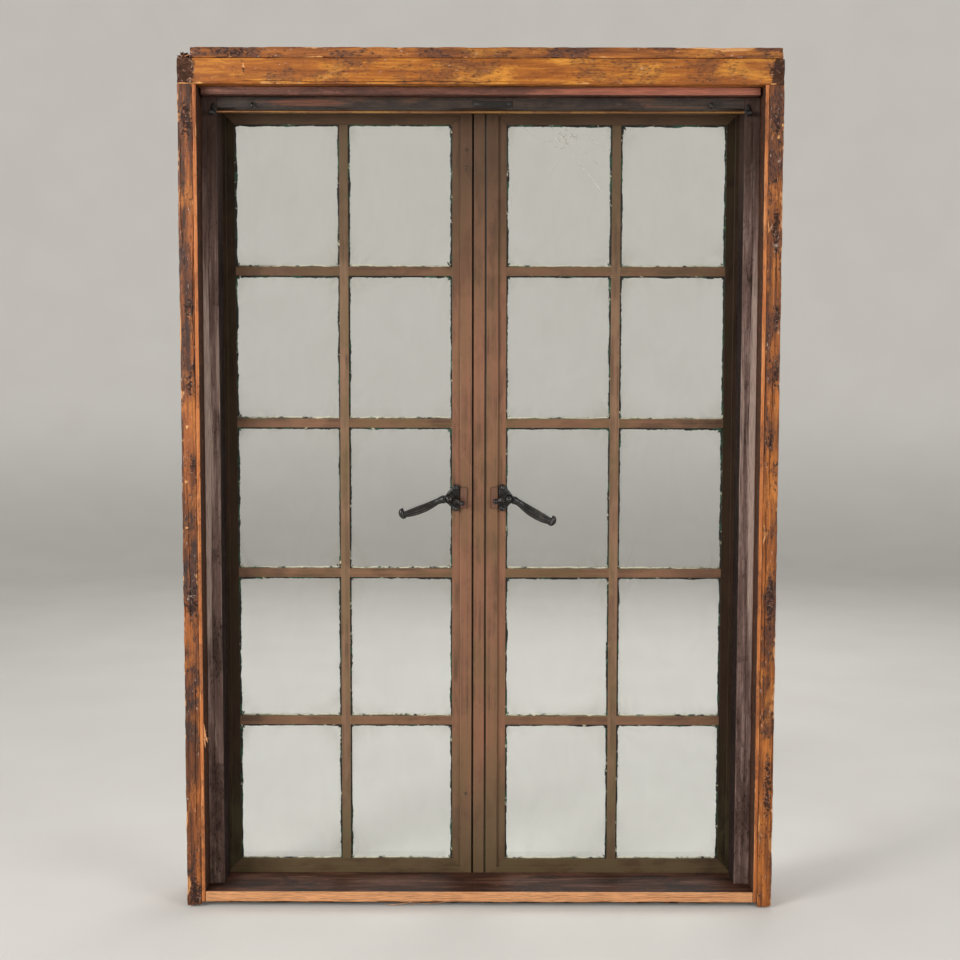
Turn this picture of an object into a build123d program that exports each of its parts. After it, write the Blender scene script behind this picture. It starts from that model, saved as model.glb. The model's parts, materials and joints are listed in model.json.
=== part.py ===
from build123d import *
import os

os.makedirs("parts", exist_ok=True)

# A steel double casement window in a timber surround, seen from the room side (-Y).
# Millimetres, +Z up, origin on the floor under the middle of the surround.

# Timber surround
WIDTH = 1175.0            # over the jambs
HEIGHT = 1700.0           # floor to the top of the rough board
DEPTH = 158.0             # room face to outside face
JAMB_WIDTH = 37.5
HEAD_HEIGHT = 50.0
HEAD_LIP = 5.0            # the head is this much lower over the steel frame
TOP_BOARD_HEIGHT = 21.0
TOP_BOARD_BROKEN_OFF = 17.0   # missing at the left end
STRIP_WIDTH = 7.5         # light strip let into the inner arris of each jamb
LINER_SETBACK = 52.0      # room face to the face of the liners
LINER_WIDTH = 31.0
STEEL_SETBACK = 124.0     # room face to the face of the steel
SOFFIT_THICKNESS = 16.0
SOFFIT_SETBACK = 25.0
SOFFIT_END_GAP = 5.0
HEAD_LINER_HEIGHT = 21.5
SUB_SILL_THICKNESS = 12.0
SUB_SILL_SETBACK = 28.0
STEEL_SEAT_HEIGHT = 6.0   # sub-sill under the steel frame
STOOL_THICKNESS = 20.6
STOOL_END_GAP = 0.5

# Curtain rod
ROD_RADIUS = 2.75
ROD_OFF_LINER = 12.0      # liner face to rod centre
ROD_DROP = 9.5            # underside of the head liner to rod centre
ROD_INSET = 3.0           # bracket boss past the liner's inner edge
BRACKET_PLATE = (15.0, 2.0, 24.0)
ROD_BOSS_RADIUS = 5.0
ROD_BOSS_LENGTH = 9.0

# Rolled steel sections
STEEL = 3.5               # wall of every section
FRAME_DEPTH = 30.0
FRAME_FLANGE = 11.0
FRAME_OUTER_FLANGE = 6.0
LEAF_GAP = 3.0            # fixed frame flange to leaf
MULLION_GAP = 4.0         # mullion flange to leaf
MULLION_FACE = 22.0
MULLION_OUTER_FLANGE = 12.0
MULLION_OFFSET = -2.0     # the mullion stands a little left of the middle
LEAF_FACE = 23.0
LEAF_LEG = 17.0           # glazing leg beside the glass
LEAF_LEG_SETBACK = 5.0
LEAF_DEPTH = 26.0
LEAF_LAP = 6.0            # outside flange past the room face's edge, behind the fixed flange

# Glazing
BAR_FACE = 18.0
BAR_STEM = 4.0
END_PANE_HEIGHT = 284.0   # top and bottom rows; the middle rows share the rest
PANE_ROWS = 5
GLASS = 3.0
GLASS_CLEARANCE = 1.5
PUTTY_WIDTH = 10.0
PUTTY_SHORT = 2.0         # putty stops short of the stem's edge

# Outside hinges
HINGE_LENGTH = 64.0
HINGE_FROM_END = 240.0
HINGE_BARREL_RADIUS = 3.5
HINGE_PLATE = 2.0
HINGE_LEAF_PLATE = 22.0   # onto the leaf's outside flange

# Lever handles
HANDLE_HEIGHT = 817.0     # floor to the spindle
PLATE_WIDTH = 13.5
PLATE_HEIGHT = 42.0
PLATE_THICKNESS = 3.0
PAD_WIDTH = 14.0
PAD_HEIGHT = 40.0
PAD_THICKNESS = 8.0
PAD_INSET = 0.5           # inside the edge of the glazing leg
LUG_RADIUS = 6.5
LUG_SPREAD = 21.0         # spindle to each screw lug
LUG_PROUD = 4.5           # lug in front of the pad
SPINDLE_REACH = 22.5      # meeting stile's face edge to the spindle, which stands over the glass
WING_FRONT = 4.0          # wing that carries the boss, in front of the pad's face
WING_BACK = 2.0           # behind it
WING_ROOT = 25.0          # half height of the wing at the lugs
WING_TIP = 8.2            # half height past the boss
WING_PAST_BOSS = 2.5
BOSS_RADIUS = 8.5
BOSS_LENGTH = 9.0
SPINDLE_RADIUS = 4.0
SPINDLE_CLEARANCE = 0.05
END_PLAY = 0.3
RIVET_RADIUS = 6.5
RIVET_HEIGHT = 3.0
HUB_RADIUS = 10.0
HUB_LENGTH = 17.0
COLLAR_REACH = 12.0
COLLAR_RISE = 2.0
COLLAR_RADIUS = 8.5
COLLAR_END_RADIUS = 5.8
COLLAR_LENGTH = 16.0
LEVER_LENGTH = 108.0
NOSE_LENGTH = 32.5
NOSE_RADIUS = 4.2
NOSE_TIP_RADIUS = 5.4
NOSE_TIP_LENGTH = 10.0
NOSE_ANGLE = 40.0         # below the lever's own line, on the other side
KNOB_RADIUS = 6.5
KNOB_END_RADIUS = 3.6
KNOB_LENGTH = 22.0        # across the lever
KNOB_RISE = 1.5
FULL_SHARE = 0.9          # radius of a turned swelling a quarter of the way from its middle
FORGED_FLAT = 0.45        # flat of each hammered face, as a share of the half width
# Along the lever: reach, rise, bow towards the room, half width, half thickness
LEVER_STATIONS = [
    (16.0, 3.0, 0.0, 5.6, 5.4),
    (24.0, 2.6, 1.0, 5.4, 5.0),
    (35.0, 0.6, 2.0, 7.2, 4.6),
    (50.0, -1.6, 3.0, 8.8, 4.3),
    (66.0, -2.2, 2.8, 9.0, 4.1),
    (82.0, -2.4, 1.5, 8.2, 4.0),
    (94.0, -1.6, 0.0, 6.6, 4.0),
]
LEFT_DROOP = 19.0         # lever below the horizontal as photographed
RIGHT_DROOP = 28.0

# Worked out from the sizes above
FRONT = -DEPTH / 2
BACK = DEPTH / 2
OPENING_HALF = WIDTH / 2 - JAMB_WIDTH
HEAD_TOP = HEIGHT - TOP_BOARD_HEIGHT
HEAD_UNDER = HEAD_TOP - HEAD_HEIGHT
LINER_FACE = FRONT + LINER_SETBACK
STEEL_FACE = FRONT + STEEL_SETBACK
LINER_INNER = OPENING_HALF - LINER_WIDTH
SOFFIT_UNDER = HEAD_UNDER - SOFFIT_THICKNESS
LINER_HEAD_UNDER = SOFFIT_UNDER - HEAD_LINER_HEIGHT
STOOL_TOP = SUB_SILL_THICKNESS + STOOL_THICKNESS
FRAME_RECT = (-OPENING_HALF, OPENING_HALF, STEEL_SEAT_HEIGHT, HEAD_UNDER - HEAD_LIP)
LEG_FACE = STEEL_FACE + LEAF_LEG_SETBACK
GLASS_FACE = LEG_FACE + STEEL
GLASS_BACK = GLASS_FACE + GLASS
LEAF_BACK = STEEL_FACE + LEAF_DEPTH


def block(x, y, z):
    """A solid box between pairs of limits on X, Y and Z."""
    size = [limits[1] - limits[0] for limits in (x, y, z)]
    middle = [(limits[0] + limits[1]) / 2 for limits in (x, y, z)]
    return Pos(*middle) * Box(*size)


def both(x, y, z):
    """A box and its mirror image at the other side of the window."""
    return block(x, y, z), block((-x[1], -x[0]), y, z)


def polygon(points):
    """A flat face through points of the XY plane."""
    return make_face(Polyline(*points, close=True))


def build_surround(nodes):
    """Boards and posts of the timber surround."""
    half = WIDTH / 2
    head = block((-half, half), (FRONT, BACK), (HEAD_UNDER, HEAD_TOP))
    lip = block((-OPENING_HALF, OPENING_HALF), (STEEL_FACE, BACK), (HEAD_UNDER - HEAD_LIP, HEAD_UNDER))
    nodes["head_timber"] = head + lip
    nodes["head_top_board"] = block(
        (-half + TOP_BOARD_BROKEN_OFF, half), (FRONT, BACK), (HEAD_TOP, HEIGHT)
    )
    jamb_outline = [
        (OPENING_HALF + STRIP_WIDTH, FRONT),
        (half, FRONT),
        (half, BACK),
        (OPENING_HALF, BACK),
        (OPENING_HALF, LINER_FACE),
        (OPENING_HALF + STRIP_WIDTH, LINER_FACE),
    ]
    right_jamb = jamb_block(jamb_outline)
    nodes["right_jamb"] = right_jamb
    nodes["left_jamb"] = mirror(right_jamb, about=Plane.YZ)
    nodes["right_jamb_strip"], nodes["left_jamb_strip"] = both(
        (OPENING_HALF, OPENING_HALF + STRIP_WIDTH), (FRONT, LINER_FACE), (SUB_SILL_THICKNESS, HEAD_UNDER)
    )
    nodes["soffit_board"] = block(
        (-OPENING_HALF + SOFFIT_END_GAP, OPENING_HALF - SOFFIT_END_GAP),
        (FRONT + SOFFIT_SETBACK, STEEL_FACE),
        (SOFFIT_UNDER, HEAD_UNDER),
    )
    nodes["right_liner"], nodes["left_liner"] = both(
        (LINER_INNER, OPENING_HALF), (LINER_FACE, STEEL_FACE), (STOOL_TOP, SOFFIT_UNDER)
    )
    nodes["head_liner"] = block(
        (-LINER_INNER, LINER_INNER), (LINER_FACE, STEEL_FACE), (LINER_HEAD_UNDER, SOFFIT_UNDER)
    )
    stool_half = OPENING_HALF - STOOL_END_GAP
    nodes["stool_board"] = block(
        (-stool_half, stool_half), (FRONT, STEEL_FACE), (SUB_SILL_THICKNESS, STOOL_TOP)
    )
    sub_sill_outline = [
        (FRONT + SUB_SILL_SETBACK, 0),
        (BACK, 0),
        (BACK, STEEL_SEAT_HEIGHT),
        (STEEL_FACE, STEEL_SEAT_HEIGHT),
        (STEEL_FACE, SUB_SILL_THICKNESS),
        (FRONT + SUB_SILL_SETBACK, SUB_SILL_THICKNESS),
    ]
    nodes["sub_sill"] = along_x(sub_sill_outline, -OPENING_HALF, OPENING_HALF)


def along_x(outline, x_low, x_high):
    """A bar whose outline is given in Y and Z, running along X."""
    start = Plane(origin=(x_low, 0, 0), x_dir=(0, 1, 0), z_dir=(1, 0, 0))
    return extrude(start * polygon(outline), amount=x_high - x_low)


def jamb_block(outline):
    """A post whose outline is given in X and Y, from the floor to the head."""
    return extrude(polygon(outline), amount=HEAD_UNDER)


def build_rod(nodes):
    """Curtain rod between two small iron brackets on the liners."""
    rod_y = LINER_FACE - ROD_OFF_LINER
    rod_z = LINER_HEAD_UNDER - ROD_DROP
    boss_end = LINER_INNER - ROD_INSET
    nodes["curtain_rod"] = (
        Pos(0, rod_y, rod_z) * Rot(0, 90, 0) * Cylinder(ROD_RADIUS, 2 * boss_end)
    )
    width, thickness, height = BRACKET_PLATE
    plate = block(
        (LINER_INNER, LINER_INNER + width),
        (LINER_FACE - thickness, LINER_FACE),
        (rod_z - ROD_BOSS_RADIUS, rod_z - ROD_BOSS_RADIUS + height),
    )
    boss_middle = boss_end + ROD_BOSS_LENGTH / 2
    boss = Pos(boss_middle, rod_y, rod_z) * Rot(0, 90, 0) * Cylinder(ROD_BOSS_RADIUS, ROD_BOSS_LENGTH)
    arm = block(
        (LINER_INNER, boss_end + ROD_BOSS_LENGTH),
        (rod_y, LINER_FACE - thickness),
        (rod_z - ROD_RADIUS, rod_z + ROD_RADIUS),
    )
    bracket = plate + arm + boss
    nodes["right_rod_bracket"] = bracket
    nodes["left_rod_bracket"] = mirror(bracket, about=Plane.YZ)


def frame_section():
    """Fixed frame: a channel with a wide room flange and a short outside flange."""
    return polygon([
        (0, STEEL_FACE),
        (FRAME_FLANGE, STEEL_FACE),
        (FRAME_FLANGE, STEEL_FACE + STEEL),
        (STEEL, STEEL_FACE + STEEL),
        (STEEL, STEEL_FACE + FRAME_DEPTH - STEEL),
        (FRAME_OUTER_FLANGE, STEEL_FACE + FRAME_DEPTH - STEEL),
        (FRAME_OUTER_FLANGE, STEEL_FACE + FRAME_DEPTH),
        (0, STEEL_FACE + FRAME_DEPTH),
    ])


def leaf_section():
    """Leaf, from the edge of its outside lap inwards: room face, glazing leg set back beside the glass."""
    face_end = LEAF_LAP + LEAF_FACE
    web = face_end - STEEL
    return polygon([
        (LEAF_LAP, STEEL_FACE),
        (face_end, STEEL_FACE),
        (face_end, LEG_FACE),
        (face_end + LEAF_LEG, LEG_FACE),
        (face_end + LEAF_LEG, GLASS_FACE),
        (face_end, GLASS_FACE),
        (face_end, LEAF_BACK),
        (0, LEAF_BACK),
        (0, LEAF_BACK - STEEL),
        (web, LEAF_BACK - STEEL),
        (web, STEEL_FACE + STEEL),
        (LEAF_LAP, STEEL_FACE + STEEL),
    ])


def ring_member(section, reach, rect, side):
    """One mitred side of a rectangular frame; the section reaches this far in from the outer edge."""
    left, right, bottom, top = rect
    starts = {
        "left": ((left, 0, bottom), (1, 0, 0), (0, 0, 1), top - bottom),
        "right": ((right, 0, top), (-1, 0, 0), (0, 0, -1), top - bottom),
        "bottom": ((right, 0, bottom), (0, 0, 1), (-1, 0, 0), right - left),
        "top": ((left, 0, top), (0, 0, -1), (1, 0, 0), right - left),
    }
    origin, inward, along, length = starts[side]
    member = extrude(Plane(origin=origin, x_dir=inward, z_dir=along) * section, amount=length)
    low_x, high_x = left + reach, right - reach
    low_z, high_z = bottom + reach, top - reach
    corners = {
        "left": [(left, bottom), (low_x, low_z), (low_x, high_z), (left, top)],
        "right": [(right, bottom), (right, top), (high_x, high_z), (high_x, low_z)],
        "bottom": [(left, bottom), (right, bottom), (high_x, low_z), (low_x, low_z)],
        "top": [(left, top), (low_x, high_z), (high_x, high_z), (right, top)],
    }
    mask_plane = Plane(origin=(0, STEEL_FACE, 0), x_dir=(1, 0, 0), z_dir=(0, -1, 0))
    mask = extrude(mask_plane * polygon(corners[side]), amount=-FRAME_DEPTH)
    return member & mask


def build_fixed_frame(nodes):
    """Welded outer frame and the centre mullion."""
    names = {"left": "frame_left", "right": "frame_right", "bottom": "frame_sill", "top": "frame_head"}
    section = frame_section()
    for side, name in names.items():
        nodes[name] = ring_member(section, FRAME_FLANGE, FRAME_RECT, side)
    left, right, bottom, top = FRAME_RECT
    z_room = (bottom + FRAME_FLANGE, top - FRAME_FLANGE)
    z_stem = (bottom + STEEL, top - STEEL)
    z_outer = (bottom + FRAME_OUTER_FLANGE, top - FRAME_OUTER_FLANGE)
    frame_back = STEEL_FACE + FRAME_DEPTH
    room_flange = centred_bar(MULLION_FACE, (STEEL_FACE, STEEL_FACE + STEEL), z_room)
    stem = centred_bar(BAR_STEM, (STEEL_FACE + STEEL, frame_back - STEEL), z_stem)
    outer_flange = centred_bar(MULLION_OUTER_FLANGE, (frame_back - STEEL, frame_back), z_outer)
    nodes["mullion"] = room_flange + stem + outer_flange


def centred_bar(width, y, z):
    """An upright bar on the mullion's centre line."""
    return block((MULLION_OFFSET - width / 2, MULLION_OFFSET + width / 2), y, z)


def leaf_rect(side):
    """Outer edges of one leaf: left, right, bottom, top."""
    left, right, bottom, top = FRAME_RECT
    from_frame = FRAME_FLANGE + LEAF_GAP
    from_mullion = MULLION_FACE / 2 + MULLION_GAP
    if side == "left":
        x_limits = (left + from_frame, MULLION_OFFSET - from_mullion)
    else:
        x_limits = (MULLION_OFFSET + from_mullion, right - from_frame)
    return (*x_limits, bottom + from_frame, top - from_frame)


def pane_columns(rect):
    """X limits of the two columns of visible glass."""
    inset = LEAF_FACE + LEAF_LEG
    left, right = rect[0] + inset, rect[1] - inset
    middle = (left + right) / 2
    return [(left, middle - BAR_FACE / 2), (middle + BAR_FACE / 2, right)]


def pane_rows(rect):
    """Z limits of the rows of visible glass, from the bottom up."""
    inset = LEAF_FACE + LEAF_LEG
    bottom, top = rect[2] + inset, rect[3] - inset
    middle_rows = PANE_ROWS - 2
    free = top - bottom - 2 * END_PANE_HEIGHT - (PANE_ROWS - 1) * BAR_FACE
    heights = [END_PANE_HEIGHT] + [free / middle_rows] * middle_rows + [END_PANE_HEIGHT]
    rows = []
    low = bottom
    for height in heights:
        rows.append((low, low + height))
        low += height + BAR_FACE
    return rows


def build_leaf(nodes, side):
    """Rails, stiles, glazing bars, glass, putty and hinges of one leaf."""
    rect = leaf_rect(side)
    name = side + "_leaf_"
    stiles = {"left": "hinge_stile", "right": "meeting_stile"}
    if side == "right":
        stiles = {"right": "hinge_stile", "left": "meeting_stile"}
    members = {"top": "top_rail", "bottom": "bottom_rail", **stiles}
    section = leaf_section()
    lapped = (rect[0] - LEAF_LAP, rect[1] + LEAF_LAP, rect[2] - LEAF_LAP, rect[3] + LEAF_LAP)
    for edge, member in members.items():
        nodes[name + member] = ring_member(section, LEAF_LAP + LEAF_FACE + LEAF_LEG, lapped, edge)

    columns = pane_columns(rect)
    rows = pane_rows(rect)
    web = (rect[0] + LEAF_FACE, rect[1] - LEAF_FACE)
    web_z = (rect[2] + LEAF_FACE, rect[3] - LEAF_FACE)
    leg = (GLASS_FACE - STEEL, GLASS_FACE)
    stem = (GLASS_FACE, LEAF_BACK)
    bar_x = (columns[0][1], columns[1][0])
    stem_x = ((bar_x[0] + bar_x[1] - BAR_STEM) / 2, (bar_x[0] + bar_x[1] + BAR_STEM) / 2)

    face_z = (rows[0][0], rows[-1][1])
    nodes[name + "vertical_bar"] = block(bar_x, leg, face_z) + block(stem_x, stem, web_z)

    stem_columns = [(web[0], stem_x[0]), (stem_x[1], web[1])]
    cross = []
    stem_levels = [web_z[0]]
    for below, above in zip(rows, rows[1:]):
        middle = (below[1] + above[0]) / 2
        stem_z = (middle - BAR_STEM / 2, middle + BAR_STEM / 2)
        stem_levels += stem_z
        for face_x, stem_span in zip(columns, stem_columns):
            cross.append(block(face_x, leg, (below[1], above[0])) + block(stem_span, stem, stem_z))
    stem_levels.append(web_z[1])
    nodes[name + "cross_bars"] = Compound(children=cross)

    panes = []
    putty = []
    for span_x in stem_columns:
        for low, high in zip(stem_levels[::2], stem_levels[1::2]):
            panes.append(block(
                (span_x[0] + GLASS_CLEARANCE, span_x[1] - GLASS_CLEARANCE),
                (GLASS_FACE, GLASS_BACK),
                (low + GLASS_CLEARANCE, high - GLASS_CLEARANCE),
            ))
            putty.append(putty_ring(span_x, (low, high)))
    nodes[name + "glass"] = Compound(children=panes)
    nodes[name + "putty"] = Compound(children=putty)
    nodes[name + "hinges"] = hinges(side, rect)


def putty_ring(x, z):
    """Bevelled putty round one pane, on the outside of the glass."""
    back = LEAF_BACK - PUTTY_SHORT
    depth = back - GLASS_BACK
    width, height = x[1] - x[0], z[1] - z[0]
    ring = block(x, (GLASS_BACK, back), z)
    middle = ((x[0] + x[1]) / 2, 0, (z[0] + z[1]) / 2)
    at_glass = Plane(origin=(middle[0], GLASS_BACK, middle[2]), x_dir=(1, 0, 0), z_dir=(0, -1, 0))
    at_back = Plane(origin=(middle[0], back, middle[2]), x_dir=(1, 0, 0), z_dir=(0, -1, 0))
    sight = at_glass * Rectangle(width - 2 * PUTTY_WIDTH, height - 2 * PUTTY_WIDTH)
    mouth = at_back * Rectangle(width - PUTTY_SHORT, height - PUTTY_SHORT)
    return ring - loft([sight, mouth])


def hinges(side, rect):
    """Two outside hinges: a plate on the fixed frame, a barrel and a plate on the leaf."""
    frame_back = STEEL_FACE + FRAME_DEPTH
    edge = OPENING_HALF
    barrel_x = edge - FRAME_OUTER_FLANGE - HINGE_BARREL_RADIUS
    lap_edge = edge - FRAME_FLANGE - LEAF_GAP + LEAF_LAP
    solids = []
    for middle in (rect[2] + HINGE_FROM_END, rect[3] - HINGE_FROM_END):
        z = (middle - HINGE_LENGTH / 2, middle + HINGE_LENGTH / 2)
        barrel = Pos(barrel_x, frame_back, middle) * Cylinder(HINGE_BARREL_RADIUS, HINGE_LENGTH)
        frame_plate = block((barrel_x, edge), (frame_back, frame_back + HINGE_PLATE), z)
        leaf_plate = block((lap_edge - HINGE_LEAF_PLATE, barrel_x), (LEAF_BACK, LEAF_BACK + HINGE_PLATE), z)
        solids.append(barrel + frame_plate + leaf_plate)
    pair = Compound(children=solids)
    if side == "left":
        return mirror(pair, about=Plane.YZ)
    return pair


def forged_section(reach, rise, bow, half_width, half_thick):
    """An eight-sided cut through the lever, this far out from the spindle."""
    flat = half_width * FORGED_FLAT
    side = half_thick * FORGED_FLAT
    cut = Plane(origin=(reach, -bow, rise), x_dir=(0, 0, 1), z_dir=(1, 0, 0))
    return cut * polygon([
        (-flat, -half_thick),
        (flat, -half_thick),
        (half_width, -side),
        (half_width, side),
        (flat, half_thick),
        (-flat, half_thick),
        (-half_width, side),
        (-half_width, -side),
    ])


def lever(droop):
    """Forged lever pointing to +X, with its nose, hub and curled end, about a spindle at the origin."""
    knob_centre = LEVER_LENGTH - KNOB_RADIUS
    stations = LEVER_STATIONS + [(knob_centre, *LEVER_STATIONS[-1][1:])]
    arm = loft([forged_section(*station) for station in stations], ruled=True)
    hub = Rot(90, 0, 0) * Cylinder(HUB_RADIUS, HUB_LENGTH)
    collar = swelling(COLLAR_LENGTH, COLLAR_RADIUS, COLLAR_END_RADIUS)
    knob = swelling(KNOB_LENGTH, KNOB_RADIUS, KNOB_END_RADIUS)
    tip_middle = NOSE_LENGTH - NOSE_TIP_LENGTH / 2
    nose_tip = Pos(0, 0, tip_middle) * swelling(NOSE_TIP_LENGTH, NOSE_TIP_RADIUS, NOSE_RADIUS)
    nose = Pos(0, 0, tip_middle / 2) * Cylinder(NOSE_RADIUS, tip_middle) + nose_tip
    body = hub + arm + Rot(0, -90 - NOSE_ANGLE, 0) * nose
    body += Pos(COLLAR_REACH, 0, COLLAR_RISE) * Rot(0, 90, 0) * collar
    body += Pos(knob_centre, 0, KNOB_RISE) * knob
    bore = Rot(90, 0, 0) * Cylinder(SPINDLE_RADIUS + SPINDLE_CLEARANCE, 2 * HUB_LENGTH)
    return Rot(0, droop, 0) * (body - bore)


def swelling(length, radius, end_radius):
    """A hammered round that is fullest in the middle, along Z about the origin."""
    end = length / 2
    shoulder = length / 4
    shoulder_radius = end_radius + (radius - end_radius) * FULL_SHARE
    profile = polygon([
        (0, -end),
        (end_radius, -end),
        (shoulder_radius, -shoulder),
        (radius, 0),
        (shoulder_radius, shoulder),
        (end_radius, end),
        (0, end),
    ])
    return revolve(Plane.XZ * profile, axis=Axis.Z)


def build_handle(nodes, side):
    """Plate, bracket with spindle, and lever of one handle."""
    rect = leaf_rect(side)
    outward = 1 if side == "right" else -1
    meeting_edge = rect[0] if side == "right" else rect[1]
    face_edge = meeting_edge + outward * LEAF_FACE
    pad_x = face_edge + outward * (LEAF_LEG - PAD_INSET - PAD_WIDTH / 2)
    spindle_x = face_edge + outward * SPINDLE_REACH
    z = HANDLE_HEIGHT

    plate_x = sorted((face_edge - outward * PLATE_WIDTH, face_edge))
    nodes[side + "_handle_plate"] = block(
        plate_x, (STEEL_FACE - PLATE_THICKNESS, STEEL_FACE), (z - PLATE_HEIGHT / 2, z + PLATE_HEIGHT / 2)
    )

    pad_face = LEG_FACE - PAD_THICKNESS
    wing_back = pad_face + WING_BACK
    bracket = block(
        (pad_x - PAD_WIDTH / 2, pad_x + PAD_WIDTH / 2),
        (pad_face, LEG_FACE),
        (z - PAD_HEIGHT / 2, z + PAD_HEIGHT / 2),
    )
    for offset in (-LUG_SPREAD, LUG_SPREAD):
        bracket += upright_disc(pad_x, pad_face - LUG_PROUD, LEG_FACE, z + offset, LUG_RADIUS)
    tip_x = spindle_x + outward * WING_PAST_BOSS
    wing_plane = Plane(origin=(0, wing_back, z), x_dir=(1, 0, 0), z_dir=(0, -1, 0))
    wing = polygon([(pad_x, -WING_ROOT), (pad_x, WING_ROOT), (tip_x, WING_TIP), (tip_x, -WING_TIP)])
    bracket += extrude(wing_plane * wing, amount=WING_FRONT + WING_BACK, dir=(0, -1, 0))
    bracket += upright_disc(spindle_x, pad_face - BOSS_LENGTH, wing_back, z, BOSS_RADIUS)
    hub_back = pad_face - BOSS_LENGTH - END_PLAY
    hub_front = hub_back - HUB_LENGTH
    rivet_back = hub_front - END_PLAY
    bracket += upright_disc(spindle_x, rivet_back - RIVET_HEIGHT, wing_back, z, SPINDLE_RADIUS)
    bracket += upright_disc(spindle_x, rivet_back - RIVET_HEIGHT, rivet_back, z, RIVET_RADIUS)
    nodes[side + "_handle_bracket"] = bracket

    droop = RIGHT_DROOP if side == "right" else LEFT_DROOP
    body = lever(droop)
    if side == "left":
        body = mirror(body, about=Plane.YZ)
    nodes[side + "_handle"] = Pos(spindle_x, (hub_back + hub_front) / 2, z) * body


def upright_disc(x, y_front, y_back, z, radius):
    """A round boss standing off the window, between two distances."""
    return Pos(x, (y_front + y_back) / 2, z) * Rot(90, 0, 0) * Cylinder(radius, y_back - y_front)


def main():
    nodes = {}
    build_surround(nodes)
    build_rod(nodes)
    build_fixed_frame(nodes)
    for side in ("left", "right"):
        build_leaf(nodes, side)
        build_handle(nodes, side)
    for name, shape in nodes.items():
        export_step(shape, f"parts/{name}.step")
    print(len(nodes), "nodes written")


main()
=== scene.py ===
"""Looks of a steel double casement window in its worn timber surround, seen from the room side."""

from __future__ import annotations

import json
import logging
import math
from dataclasses import dataclass, field
from enum import Enum

import bpy
import numpy as np
from mathutils import Matrix, Vector, noise


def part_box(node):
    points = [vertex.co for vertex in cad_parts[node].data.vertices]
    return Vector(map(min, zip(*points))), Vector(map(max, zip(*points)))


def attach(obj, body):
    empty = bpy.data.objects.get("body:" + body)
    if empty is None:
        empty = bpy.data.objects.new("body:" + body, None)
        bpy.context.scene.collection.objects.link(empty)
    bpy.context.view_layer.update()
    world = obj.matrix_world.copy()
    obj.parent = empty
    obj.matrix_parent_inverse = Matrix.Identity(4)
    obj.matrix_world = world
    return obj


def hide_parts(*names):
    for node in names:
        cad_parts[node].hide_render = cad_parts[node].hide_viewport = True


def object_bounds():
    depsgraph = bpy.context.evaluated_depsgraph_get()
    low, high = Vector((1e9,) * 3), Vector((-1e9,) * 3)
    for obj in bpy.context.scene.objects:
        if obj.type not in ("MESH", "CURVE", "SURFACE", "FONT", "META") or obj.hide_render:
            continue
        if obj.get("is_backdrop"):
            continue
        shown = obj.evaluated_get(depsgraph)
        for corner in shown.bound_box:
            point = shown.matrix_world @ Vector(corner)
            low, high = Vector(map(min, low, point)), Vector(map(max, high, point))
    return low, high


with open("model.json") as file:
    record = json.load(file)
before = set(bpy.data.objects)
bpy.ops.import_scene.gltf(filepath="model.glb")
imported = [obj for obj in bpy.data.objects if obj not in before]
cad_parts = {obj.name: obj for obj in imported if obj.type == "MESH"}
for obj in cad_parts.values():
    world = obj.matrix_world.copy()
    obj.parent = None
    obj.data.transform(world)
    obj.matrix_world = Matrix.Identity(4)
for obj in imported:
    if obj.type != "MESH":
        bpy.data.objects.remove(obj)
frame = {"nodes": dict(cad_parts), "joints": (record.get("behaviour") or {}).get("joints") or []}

MM = 0.001
LOG = logging.getLogger("casement")
FRAME_BODY = "frame"

ACROSS = Vector((1, 0, 0))
DEEP = Vector((0, 1, 0))
UPWARD = Vector((0, 0, 1))

Colour = tuple[float, float, float, float]
Point = tuple[float, float, float]
Span = tuple[float, float]
Socket = bpy.types.NodeSocket
Feed = Socket | float | Point | Colour


def tone(red: int, green: int, blue: int) -> Colour:
    """Turns a colour as the eye reads it into the linear one that a shader takes.

    Args:
        red: Red from 0 to 255.
        green: Green from 0 to 255.
        blue: Blue from 0 to 255.

    Returns:
        The linear colour with full opacity.
    """
    linear = [((part / 255 + 0.055) / 1.055) ** 2.4 for part in (red, green, blue)]
    return (*linear, 1.0)


def grain_noise(x: float, y: float, z: float, seed: float) -> float:
    """Smooth noise from 0 to 1 at a point, different for each seed."""
    return 0.5 + 0.5 * noise.noise(Vector((x + seed * 7.31, y - seed * 3.17, z + seed * 1.93)))


def within(value: float, low: float = 0.0, high: float = 1.0) -> float:
    """The value, kept between two limits."""
    return max(low, min(high, value))


def circle(sides: int) -> list[float]:
    """The angles of points spread evenly round a circle."""
    return [2 * math.pi * side / sides for side in range(sides)]


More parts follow.
